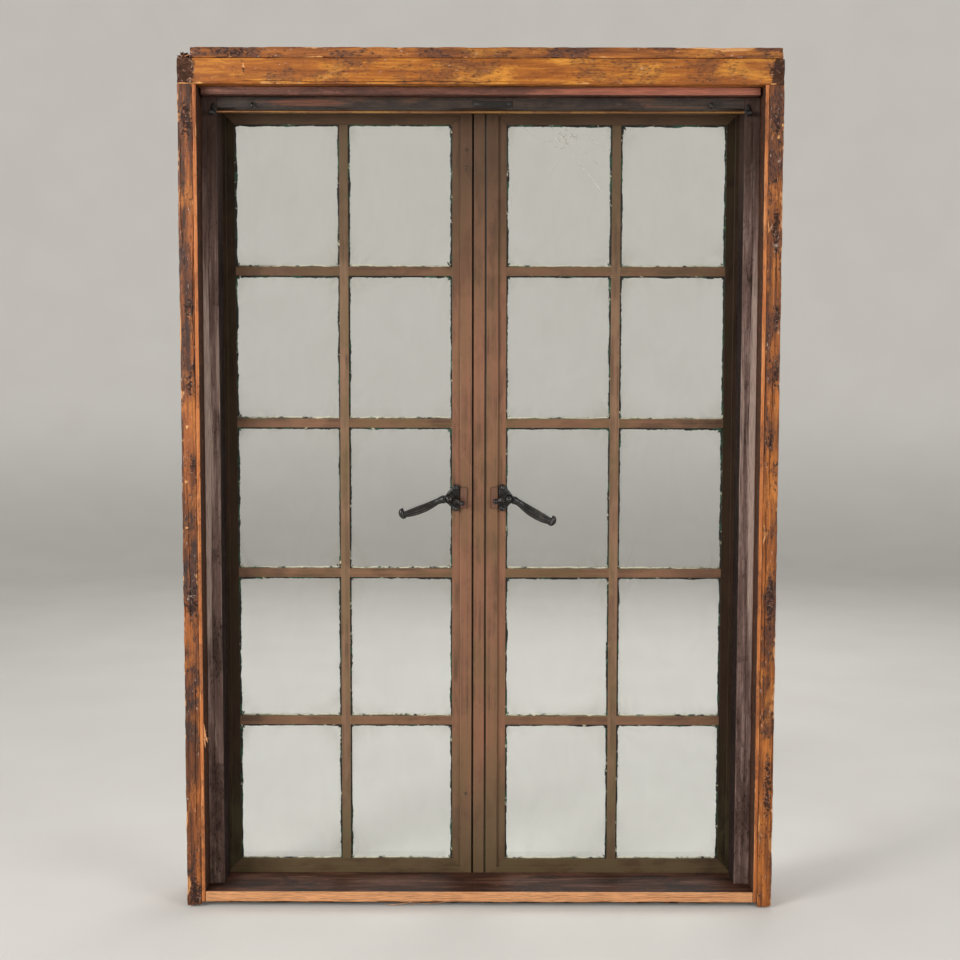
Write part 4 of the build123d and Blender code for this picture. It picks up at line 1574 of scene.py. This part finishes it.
@dataclass
class Lever:
    """A forged lever handle with its hub, nose, fluted grip and rolled end."""

    side: Side
    seed: int
    width_share: float
    iron: IronFinish = IronFinish()
    length: float = 108 * MM
    roll_length: float = 22 * MM
    nose_lean: float = math.radians(40)
    lug_spread: float = 21 * MM
    pad_half: float = 7 * MM
    flute_depth: float = 0.62
    hub_radius: float = 10.4 * MM
    roll_radius: float = 6.3 * MM
    sides: int = 32

    def spindle(self) -> tuple[Vector, float]:
        """The spindle's place, and the lever's droop below the horizontal.

        Returns:
            The point and an angle in radians.
        """
        for joint in frame["joints"]:
            if joint["child"] == self.side.named("handle"):
                return Vector(joint["pos_m"]), math.radians(-joint["range_deg"][0])
        raise LookupError(f"no joint carries the {self.side.value} lever")

    def placed(self, reach: float, bow: float, rise: float) -> Point:
        """A point of the lever from its reach along the arm, distance to the room and rise."""
        centre, droop = self.spindle()
        x = reach * math.cos(droop) + rise * math.sin(droop)
        z = -reach * math.sin(droop) + rise * math.cos(droop)
        return (centre.x + self.side.outward * x, centre.y - bow, centre.z + z)

    def turned(self, ring: list[Point]) -> list[Point]:
        """The ring as it is on the right lever, or the other way round on its mirror image."""
        return ring if self.side is Side.RIGHT else ring[::-1]

    def ring(self, reach: float, bow: float, rise: float, half_width: float, half_thick: float,
             flute: float = 0.0) -> list[Point]:
        """A cut through the arm, with two flutes beside a ridge on the room side."""
        points = []
        for angle in circle(self.sides):
            up, out = math.cos(angle), math.sin(angle)
            lump = 1 + 0.05 * (grain_noise(reach * 260, up * 2.1, out * 2.1, self.seed) - 0.5)
            hollow = flute * math.exp(-(((abs(up) - 0.46) / 0.17) ** 2)) if out > 0 else 0.0
            points.append(self.placed(reach, bow + half_thick * out * (1 - hollow) * lump,
                                      rise + half_width * up * lump))
        return self.turned(points)

    def arm(self, shell: Shell) -> None:
        """Adds the arm, which swells and bows towards the room.

        Each cut has its reach, bow, rise, half width and half thickness in millimetres.
        """
        cuts = [
            (4, 0, 1.6, 7.0, 6.0), (8, 0, 2.0, 7.6, 7.0), (12, 0, 2.2, 8.4, 7.8),
            (16, 0, 2.4, 7.6, 7.0), (20, 0.4, 2.4, 6.8, 6.0), (25, 1.0, 2.0, 6.6, 5.2),
            (35, 2.0, 0.4, 7.6, 4.6), (50, 3.0, -1.6, 8.8, 4.4), (66, 2.8, -2.2, 9.0, 4.2),
            (82, 1.5, -2.4, 8.2, 4.1), (94, 0.3, -1.6, 6.8, 4.0), (101, 0, 0.2, 5.6, 4.0),
        ]
        rings = []
        for first, second in zip(cuts, cuts[1:]):
            for part in range(4):
                share = part / 4
                cut = [a + (b - a) * share for a, b in zip(first, second)]
                if cut[0] > 22:
                    cut[3] *= self.width_share
                flute = self.flute_depth * within(min((cut[0] - 24) / 12, (98 - cut[0]) / 12))
                rings.append(self.ring(*[value * MM for value in cut], flute))
        rings.append(self.ring(*[value * MM for value in cuts[-1]]))
        shell.tube(rings)

    def rolled_end(self, shell: Shell) -> None:
        """Adds the rolled end, which bulges away from the hub between its turned-back tips."""
        half = [(0.0, 1.0), (0.25, 0.99), (0.5, 0.92), (0.75, 0.78), (0.9, 0.62), (0.98, 0.42), (1.0, 0.2)]
        profile = [(-along, share) for along, share in half[:0:-1]] + half
        rings = []
        for along, share in profile:
            reach = self.length - 6.5 * MM - 2.6 * MM * along ** 2
            ring = []
            for angle in circle(self.sides):
                seam = 0.14 * math.exp(-(((angle - 2.4) / 0.25) ** 2))
                radius = self.roll_radius * (share - seam * share)
                ring.append(self.placed(reach + radius * math.cos(angle), radius * math.sin(angle),
                                        1.5 * MM + along * self.roll_length / 2))
            rings.append(self.turned(ring)[::-1])
        shell.tube(rings)

    def hub(self, shell: Shell) -> None:
        """Adds the hub on the spindle, faced with a shallow dish."""
        profile = [(-8.5, 0.80), (-8.5, 0.96), (-7.6, 1.0), (-2.6, 1.0), (-1.6, 0.92), (-0.4, 0.92),
                   (0.6, 1.0), (7.0, 1.0), (8.1, 0.95), (8.5, 0.88), (8.2, 0.76), (7.6, 0.68)]
        rings = []
        for depth, share in profile:
            ring = []
            for angle in circle(self.sides):
                radius = self.hub_radius * share * (1 + 0.02 * math.sin(5 * angle))
                ring.append(self.placed(radius * math.cos(angle), depth * MM, radius * math.sin(angle)))
            rings.append(self.turned(ring))
        shell.tube(rings)

    def nose(self, shell: Shell) -> None:
        """Adds the nose that presses on the plate: a knuckle, a neck and a round tip."""
        profile = [(2, 4.8), (7, 5.2), (10, 5.9), (13, 6.5), (16, 6.3), (18.5, 5.3), (20.5, 4.3),
                   (22.5, 4.0), (24.5, 4.8), (27, 5.6), (29.5, 5.5), (31.4, 4.4), (32.4, 2.8), (32.8, 1.0)]
        rings = []
        for along, radius in profile:
            ring = []
            for angle in circle(self.sides):
                across = radius * MM * math.cos(angle)
                reach = -along * MM * math.cos(self.nose_lean) + across * math.sin(self.nose_lean)
                rise = -along * MM * math.sin(self.nose_lean) - across * math.cos(self.nose_lean)
                ring.append(self.placed(reach, radius * MM * math.sin(angle), rise))
            rings.append(self.turned(ring))
        shell.tube(rings)

    def bracket(self) -> None:
        """Adds the bracket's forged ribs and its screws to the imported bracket."""
        centre = self.spindle()[0]
        low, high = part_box(self.side.named("handle_bracket"))
        outward = self.side.outward
        pad_x = low.x + self.pad_half if outward > 0 else high.x - self.pad_half
        ribs = Shell()
        for way in (-1, 1):
            lug = Vector((pad_x + outward * 3.5 * MM, 40 * MM, centre.z + way * self.lug_spread * 0.92))
            boss = Vector((centre.x + outward * 3.5 * MM, 39 * MM, centre.z + way * 5 * MM))
            path = [lug + (boss - lug) * share for share in (0, 0.08, 0.35, 0.65, 0.92, 1)]
            radii = [radius * MM for radius in (3, 5, 4.8, 4.6, 4.4, 2.4)]
            ribs.tube(bent_tube(path, radii, 16, DEEP, 0.8))
        ribs.piece(self.side.named("bracket_ribs"), self.iron)
        self.shadow_ring()
        screws = Shell()
        for index, offset in enumerate((-self.lug_spread, self.lug_spread)):
            place = (pad_x + outward * MM, 37.2 * MM, centre.z + offset)
            Screw(place, 4.6 * MM, 0.7 + index).add_to(screws)
        Screw((centre.x, low.y + 0.6 * MM, centre.z), 5.6 * MM, 2.1).add_to(screws)
        screws.piece(self.side.named("handle_screws"), self.iron)

    def shadow_ring(self) -> None:
        """Adds a dark line round the plate that the nose presses on: painted shadow along its edges."""
        low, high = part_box(self.side.named("handle_plate"))
        wide, sunk, proud = 1.1 * MM, -0.2 * MM, 0.5 * MM
        left, right = low.x - wide, high.x + wide
        shell = Shell()
        for bar in ((left, right, high.z, high.z + wide), (left, right, low.z - wide, low.z),
                    (left, low.x, low.z, high.z), (high.x, right, low.z, high.z)):
            shell.tube([[(x, high.y - depth, z) for x, z in corners_of(*bar)] for depth in (sunk, proud)])
        # Painted shadow: a dark ring of paint round the plate
        shell.piece(self.side.named("plate_dirt"), PaintFinish(
            "painted_shadow_ring", umber=tone(44, 28, 22), brown=tone(62, 38, 30), rosy=tone(74, 46, 36), shift=25.0))

    def build(self) -> None:
        """Builds the lever, and dresses its bracket and plate."""
        shell = Shell()
        self.arm(shell)
        self.rolled_end(shell)
        self.hub(shell)
        self.nose(shell)
        lever = shell.piece(self.side.named("lever"), self.iron, self.side.named("handle"), sharp=40)
        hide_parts(self.side.named("handle"))
        self.bracket()
        soften(self.side.named("handle_bracket"), 0.8 * MM, self.iron)
        soften(self.side.named("handle_plate"), 0.4 * MM, PaintFinish(
            "plate_paint", umber=tone(92, 60, 50), brown=tone(112, 74, 62), rosy=tone(120, 78, 66),
            shift=15.0))


@dataclass
class CurtainRod:
    """The brass rod, its iron brackets and the small ironwork on the head liner."""

    brass: BrassFinish = BrassFinish()
    iron: IronFinish = IronFinish()
    plate_x: tuple[float, float] = (-16 * MM, 62 * MM)
    hooks: tuple[float, float] = (-0.448, 0.453)

    def build(self) -> None:
        """Finishes the rod and brackets and adds the plate, hooks and screws."""
        soften("curtain_rod", 0.0, self.brass)
        for side in Side:
            self.bracket(side)
        liner_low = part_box("head_liner")[0]
        shell = Shell()
        self.plate(shell, liner_low)
        for x in self.hooks:
            self.hook(shell, x, liner_low)
        shell.piece("head_ironwork", self.iron)

    def bracket(self, side: Side) -> bpy.types.Object:
        """Adds a forged bracket: a tapered plate on the liner with an arm and a cup for the rod.

        Returns:
            The bracket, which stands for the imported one.
        """
        low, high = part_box(side.named("rod_bracket"))
        rod_low, rod_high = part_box("curtain_rod")
        rod_y, rod_z = (rod_low.y + rod_high.y) / 2, (rod_low.z + rod_high.z) / 2
        middle = (low.x + high.x) / 2
        outline = [(-6.5, -5), (6.5, -5), (7.3, 0), (6.2, 6), (4, 12), (2.2, 17), (0, 18.5),
                   (-2.2, 17), (-4, 12), (-6.2, 6), (-7.3, 0)]
        shell = Shell()
        shell.tube([[(middle + x * MM * share, high.y - depth * MM, rod_z + (6 + (z - 6) * share) * MM)
                     for x, z in outline]
                    for depth, share in ((0, 1.0), (1.4, 1.0), (2.2, 0.92), (2.6, 0.8))])
        shell.tube([[(middle + half * 1.1 * MM * math.cos(turn), y, rod_z + half * MM * math.sin(turn))
                     for turn in circle(16)]
                    for y, half in ((high.y - 1 * MM, 5.0), (high.y - 4 * MM, 4.0),
                                    (rod_y + 3 * MM, 3.6), (rod_y - 3 * MM, 3.4))])
        cup = [Vector((middle + x * MM, rod_y, rod_z)) for x in (-6, -5.2, -2, 2, 5.2, 6)]
        shell.tube(bent_tube(cup, [radius * MM for radius in (3.9, 4.9, 5.2, 5.2, 4.9, 3.9)], 20, UPWARD))
        Screw((middle, high.y - 2.4 * MM, rod_z + 12 * MM), 2.6 * MM, 0.6).add_to(shell)
        made = shell.piece(side.named("forged_rod_bracket"), self.iron)
        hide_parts(side.named("rod_bracket"))
        return made

    def plate(self, shell: Shell, liner: Vector) -> None:
        """Adds the thin plate at the middle of the head liner."""
        left, right = self.plate_x
        low, high = liner.z + 1.5 * MM, liner.z + 13.5 * MM
        rings = []
        for inset, proud in ((0.0, 0.0), (0.0, 1.0), (0.6, 1.6)):
            gap = inset * MM
            rings.append([(x, liner.y - proud * MM, z)
                          for x, z in corners_of(left + gap, right - gap, low + gap, high - gap)])
        shell.tube(rings)
        for x in (left + 7 * MM, right - 7 * MM):
            Screw((x, liner.y - 1.5 * MM, (low + high) / 2), 2.8 * MM, x * 90).add_to(shell)

    def hook(self, shell: Shell, x: float, liner: Vector) -> None:
        """Adds a screw hook that hangs below the head liner's face."""
        root = Vector((x, liner.y, liner.z + 9 * MM))
        bend = root + Vector((0, -4 * MM, -5.5 * MM))
        path = [root, root + Vector((0, -2 * MM, 0))]
        for turn in np.radians(np.linspace(90, 320, 20)):
            path.append(bend + Vector((0, 5.5 * MM * math.cos(turn), 5.5 * MM * math.sin(turn))))
        shell.tube(bent_tube(path, [1.4 * MM] * len(path), 10, ACROSS))
        shell.tube(ball((x, liner.y - 0.5 * MM, liner.z + 7 * MM), 4 * MM, (1, 0.5, 1)))


@dataclass
class Cobweb:
    """Dusty threads across the upper pane beside the mullion.

    Each thread has the share of the pane's width and the drop below the rail of both its ends, and
    its sag.
    """

    seed: int = 5
    thickness: float = 0.42 * MM
    stand_off: float = 1.6 * MM
    tangle_count: int = 34
    threads: tuple[tuple[float, ...], ...] = (
        (0.13, 0, 0.36, 0.032, 0.003), (0.36, 0.032, 0.50, 0.022, 0.004), (0.40, 0, 0.50, 0.018, 0.002),
        (0.50, 0.018, 0.76, 0.02, 0.004), (0.63, 0.034, 0.83, 0.072, -0.002),
        (0.83, 0.072, 1.0, 0.094, 0.001), (0.69, 0.078, 1.0, 0.162, -0.004), (0.86, 0, 0.94, 0.03, 0.001),
        (0.48, 0.074, 0.38, 0.108, 0.001), (0.06, 0.118, 0.04, 0.166, -0.001),
        (0.76, 0.02, 0.98, 0.05, 0.003), (0.55, 0.03, 0.70, 0.08, 0.001))

    def strand(self, shell: Shell, start: Point, end: Point, sag: float, thickness: float) -> None:
        """Adds one thread that hangs a little between its ends."""
        path, radii = [], []
        for index in range(13):
            share = index / 12
            fall = Vector((0, 0, 4 * sag * share * (1 - share)))
            path.append(Vector(start).lerp(Vector(end), share) - fall)
            clump = grain_noise(share * 9, start[0] * 90, end[2] * 90, self.seed)
            radii.append(thickness * (0.6 + 0.8 * clump))
        shell.tube(bent_tube(path, radii, 5, DEEP))

    def build(self) -> bpy.types.Object:
        """Builds the threads and the dusty tangle.

        Returns:
            The cobweb, which hangs just in front of the glass.
        """
        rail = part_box("right_leaf_top_rail")[0]
        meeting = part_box("right_leaf_meeting_stile")[1]
        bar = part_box("right_leaf_vertical_bar")[0]
        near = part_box("right_leaf_glass")[0].y - self.stand_off
        wide = bar.x - meeting.x

        def spot(share: float, drop: float, depth: float = 0.0) -> Point:
            """A place on the pane from its share across and its distance below the rail."""
            return (meeting.x + wide * share, near - depth, rail.z - drop)

        shell = Shell()
        for share, drop, far_share, far_drop, sag in self.threads:
            self.strand(shell, spot(share, drop), spot(far_share, far_drop), sag, self.thickness)
        chance = np.random.default_rng(self.seed)
        for _ in range(self.tangle_count):
            share, drop = chance.normal(0.56, 0.05), chance.normal(0.026, 0.008)
            lean, length = chance.uniform(0, 2 * math.pi), chance.uniform(3, 12) * MM
            start = spot(share, drop, chance.uniform(0, 4) * MM)
            end = (start[0] + length * math.cos(lean), start[1], start[2] + length * math.sin(lean))
            sag = chance.uniform(-2, 2) * MM
            self.strand(shell, start, end, sag, self.thickness * chance.uniform(0.7, 1.8))
        return shell.piece("cobweb", ThreadFinish())


@dataclass
class Splinters:
    """Torn slivers of wood that hang below the stool and stand off the broken ends."""

    finish: TimberFinish
    seed: int = 9
    hair_count: int = 26

    def sliver(self, shell: Shell, start: Point, end: Point, width: float, thick: float) -> None:
        """Adds a thin tapered sliver between two points."""
        run = Vector(end) - Vector(start)
        path, radii = [], []
        for index in range(7):
            share = index / 6
            path.append(Vector(start) + run * share + run.cross(DEEP) * 0.06 * math.sin(share * math.pi))
            radii.append(width / 2 * ((1 - share) ** 0.7 * 0.9 + 0.1))
        shell.tube(bent_tube(path, radii, 6, DEEP, thick / width))

    def build(self) -> bpy.types.Object:
        """Builds the slivers.

        Returns:
            The piece with all of them.
        """
        shell = Shell()
        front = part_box("stool_board")[0]
        y = front.y + 5 * MM
        under = front.z
        chance = np.random.default_rng(self.seed)
        slivers = [
            ((-0.130, y, under + 1 * MM), (-0.196, y + 4 * MM, under - 7 * MM), 2.4 * MM),
            ((-0.118, y, under + 1 * MM), (-0.142, y + 2 * MM, under - 9 * MM), 1.6 * MM),
            ((-0.060, y, under + 1 * MM), (-0.140, y + 6 * MM, under - 4 * MM), 1.4 * MM),
        ]
        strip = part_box("left_jamb_strip")
        torn_x, torn_y = strip[1].x - 1.5 * MM, strip[0].y + 2 * MM
        for rise, reach, tip, width in (
                (0.374, 3, 0.350, 4.4), (0.364, 6, 0.340, 5.0), (0.356, 9, 0.336, 4.6),
                (0.350, 4, 0.326, 4.0), (0.346, 15, 0.3435, 2.0), (0.352, 7, 0.361, 3.0)):
            slivers.append(((torn_x, torn_y, rise), (torn_x + reach * MM, torn_y, tip), width * MM))
        for start, end, width in slivers:
            self.sliver(shell, start, end, width, 0.8 * MM)
        for _ in range(self.hair_count):
            x = chance.uniform(-0.52, 0.52)
            start = (x, y + chance.uniform(0, 12) * MM, under + 0.5 * MM)
            end = (x + chance.normal(0, 9) * MM, start[1] + chance.uniform(-2, 2) * MM,
                   under - chance.uniform(2, 9) * MM)
            self.sliver(shell, start, end, chance.uniform(0.5, 1.3) * MM, 0.5 * MM)
        for count, (x, z, lean) in enumerate(((-0.572, 1.682, 1), (0.555, 1.6795, -1), (0.43, 1.6912, 1))):
            start = (x, -0.074 + count * 3 * MM, z)
            self.sliver(shell, start, (x + lean * 0.03, -0.073, z + 0.006), 1.8 * MM, 1.0 * MM)
        shell.spread(bare=1.2, stain=0.0)
        return shell.piece("splinters", self.finish)


@dataclass
class Stub:
    """What is left of the top board's broken left end: short torn blocks on the head."""

    finish: TimberFinish
    seed: int = 31

    def build(self) -> bpy.types.Object:
        """Builds the torn blocks.

        Returns:
            The piece with all of them.
        """
        head_low, head_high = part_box("head_timber")
        chance = np.random.default_rng(self.seed)
        shell = Shell()
        for left, right, height in ((-0.586, -0.5805, 6), (-0.5795, -0.5745, 14), (-0.5735, -0.5665, 11)):
            rings = []
            for share in (-0.5, 0.2, 0.45, 0.7, 0.88, 1.0):
                ring = []
                for turn in circle(16):
                    box_x, box_y = within(1.5 * math.cos(turn), -1.0), within(1.5 * math.sin(turn), -1.0)
                    jag = chance.uniform(0.6, 1.0) if share > 0.6 else chance.uniform(0.9, 1.0)
                    broken = chance.uniform(0.75, 1.0) if share > 0.3 else 1.0
                    ring.append(((left + right) / 2 + (right - left) / 2 * box_x * jag,
                                 head_low.y + 30 * MM + 27 * MM * box_y * jag,
                                 head_high.z + height * MM * share * broken))
                rings.append(ring)
            shell.tube(rings)
        shell.spread(bare=0.3, stain=0.55)
        return shell.piece("top_board_stub", self.finish, sharp=20)


@dataclass
class Nails:
    """Nail heads on the timber and painted-over screws on the steel."""

    iron: IronFinish = IronFinish()
    # The screw paint is darker than the stile's: painted shade round the heads
    paint: PaintFinish = PaintFinish("screw_paint", umber=tone(62, 46, 36), brown=tone(82, 60, 48),
                                     rosy=tone(92, 66, 54), shift=21.0)
    nails: tuple[Span, ...] = ((0.563, 0.026), (-0.566, 0.118), (-0.568, 0.098), (0.572, 1.2),
                               (-0.569, 1.32), (0.0, 1.652), (0.4, 1.66))
    screws: tuple[Span, ...] = ((-0.0285, 1.5198), (-0.0285, 1.4836), (-0.0285, 0.2))
    nail_radius: float = 2.6 * MM
    screw_radius: float = 3.6 * MM

    def build(self) -> None:
        """Builds the heads."""
        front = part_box("left_jamb")[0].y
        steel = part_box("frame_head")[0].y
        nails = Shell()
        for x, z in self.nails:
            nails.tube(ball((x, front + 1.6 * MM, z), self.nail_radius, (1, 0.6, 1)))
        nails.piece("nail_heads", self.iron)
        screws = Shell()
        for x, z in self.screws:
            Screw((x, steel + 0.8 * MM, z), self.screw_radius, z * 31).add_to(screws)
        screws.piece("painted_screws", self.paint)


@dataclass
class Studio:
    """A plain pale room with soft light, and the camera at the photograph's viewing angle."""

    distance: float = 3.138
    eye_height: float = 1.114
    tilt_down: float = 4.57
    roll: float = 0.1
    lens: float = 60.0
    floor_radius: float = 5.0
    sweep_radius: float = 2.5
    wall_height: float = 3.6
    paleness: float = 0.25
    plaster_low: Colour = tone(214, 210, 203)
    plaster_high: Colour = tone(224, 221, 215)
    room_light: float = 0.36

    def build(self) -> None:
        """Makes the floor, backdrop, lamps, world and camera."""
        self.backdrop()
        self.lamp("left_softbox", (-2.9, -2.8, 2.0), size=1.6, power=115, aim=(0, 0, 0.9))
        self.lamp("right_softbox", (2.9, -3.0, 1.9), size=1.8, power=52, aim=(0, 0, 0.8))
        self.lamp("rear_softbox", (0.5, 3.0, 3.0), size=2.5, power=50, aim=(0, 0, 0.9))
        world = bpy.data.worlds.new("soft_room")
        world.use_nodes = True
        background = world.node_tree.nodes["Background"]
        background.inputs["Color"].default_value = (1, 1, 1, 1)
        background.inputs["Strength"].default_value = self.room_light
        bpy.context.scene.world = world
        self.camera()
        bpy.context.scene.view_settings.view_transform = "Standard"

    def backdrop(self) -> None:
        """Makes one round sweep of floor and wall that closes the view on every side."""
        mesh = self.sweep_mesh()
        sweep = bpy.data.objects.new("backdrop", mesh)
        bpy.context.scene.collection.objects.link(sweep)
        recipe = Recipe("pale_plaster")
        path = recipe.node("ShaderNodeLightPath")
        seen = recipe.plus(path.outputs["Is Camera Ray"], path.outputs["Is Glossy Ray"])
        seen = recipe.plus(seen, path.outputs["Is Transmission Ray"])
        rise = recipe.plus(recipe.band(recipe.height(), 0.0, 0.9, 0.7), 0.3)
        soft = recipe.cloud(recipe.place, 3, 1, 0.5)
        mesh.materials.append(recipe.surface({
            "Base Color": recipe.blend(soft, self.plaster_low, self.plaster_high),
            "Roughness": 0.9,
            "Emission Color": self.plaster_high,
            "Emission Strength": recipe.times(recipe.times(seen, rise), self.paleness),
        }))
        sweep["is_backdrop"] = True

    def sweep_mesh(self) -> bpy.types.Mesh:
        """The round floor, which curves up into the wall.

        Returns:
            A new mesh.
        """
        profile = [(radius, 0.0) for radius in (0.0, 1.5, 3.0, self.floor_radius)]
        for turn in np.linspace(0.1, math.pi / 2, 12):
            profile.append((self.floor_radius + self.sweep_radius * math.sin(turn),
                            self.sweep_radius * (1 - math.cos(turn))))
        profile.append((self.floor_radius + self.sweep_radius, self.wall_height))
        sides = 96
        points, faces = [], []
        for radius, z in profile:
            points += [(radius * math.sin(turn), radius * math.cos(turn), z)
                       for turn in np.linspace(0, 2 * math.pi, sides, endpoint=False)]
        for row in range(len(profile) - 1):
            for side in range(sides):
                beside = (side + 1) % sides
                faces.append((row * sides + side, row * sides + beside,
                              (row + 1) * sides + beside, (row + 1) * sides + side))
        mesh = bpy.data.meshes.new("backdrop")
        mesh.from_pydata(points, [], faces)
        mesh.shade_smooth()
        return mesh

    def lamp(self, name: str, place: Point, size: float, power: float, aim: Point) -> None:
        """Adds one square soft lamp."""
        light = bpy.data.lights.new(name, "AREA")
        light.size = size
        light.energy = power
        lamp = bpy.data.objects.new(name, light)
        lamp.location = place
        lamp.rotation_euler = (Vector(aim) - Vector(place)).to_track_quat("-Z", "Y").to_euler()
        lamp.visible_camera = False
        lamp.visible_transmission = False
        bpy.context.scene.collection.objects.link(lamp)

    def camera(self) -> None:
        """Sets the camera level with the middle of the window, tilted slightly down."""
        data = bpy.data.cameras.new("camera")
        data.lens = self.lens
        data.sensor_width = 36.0
        camera = bpy.data.objects.new("camera", data)
        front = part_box("left_jamb")[0].y
        tilt = Matrix.Rotation(math.radians(90 - self.tilt_down), 4, "X")
        camera.matrix_world = (Matrix.Translation((0, front - self.distance, self.eye_height)) @ tilt
                               @ Matrix.Rotation(math.radians(self.roll), 4, "Z"))
        bpy.context.scene.collection.objects.link(camera)
        bpy.context.scene.camera = camera


def main() -> None:
    """Builds the window's looks in order, then the room."""
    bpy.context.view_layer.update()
    surround = Surround()
    surround.build()
    steel = PaintFinish()
    rail = Leaf(Side.LEFT, 0).rail_finish
    # Painted shadow: near-black paint on the frame's sides, deep in the recess between liners and hinge
    # stiles
    shadow_paint = PaintFinish(
        "painted_shadow_frame_paint", umber=tone(24, 18, 15), brown=tone(36, 28, 23), rosy=tone(44, 34, 28),
        olive=tone(34, 28, 18), rust=tone(40, 26, 18), painted_top_shade_share=0.0, sheen=0.1, shift=27.0)
    for parts, finish in ((("left", "right"), shadow_paint), (("head", "sill"), rail)):
        for part in parts:
            soften("frame_" + part, 0.4 * MM, finish)
    soften("mullion", 0.5 * MM, steel)
    for side, seed, grip_width in ((Side.LEFT, 41, 0.96), (Side.RIGHT, 42, 1.1)):
        Leaf(side, seed).build()
        Lever(side, seed + 10, grip_width).build()
    CurtainRod().build()
    Cobweb().build()
    Splinters(surround.stool_finish).build()
    Stub(surround.top_finish).build()
    Nails().build()
    Studio().build()


if __name__ == "__main__":
    logging.basicConfig(level=logging.INFO, format="%(message)s")
    main()
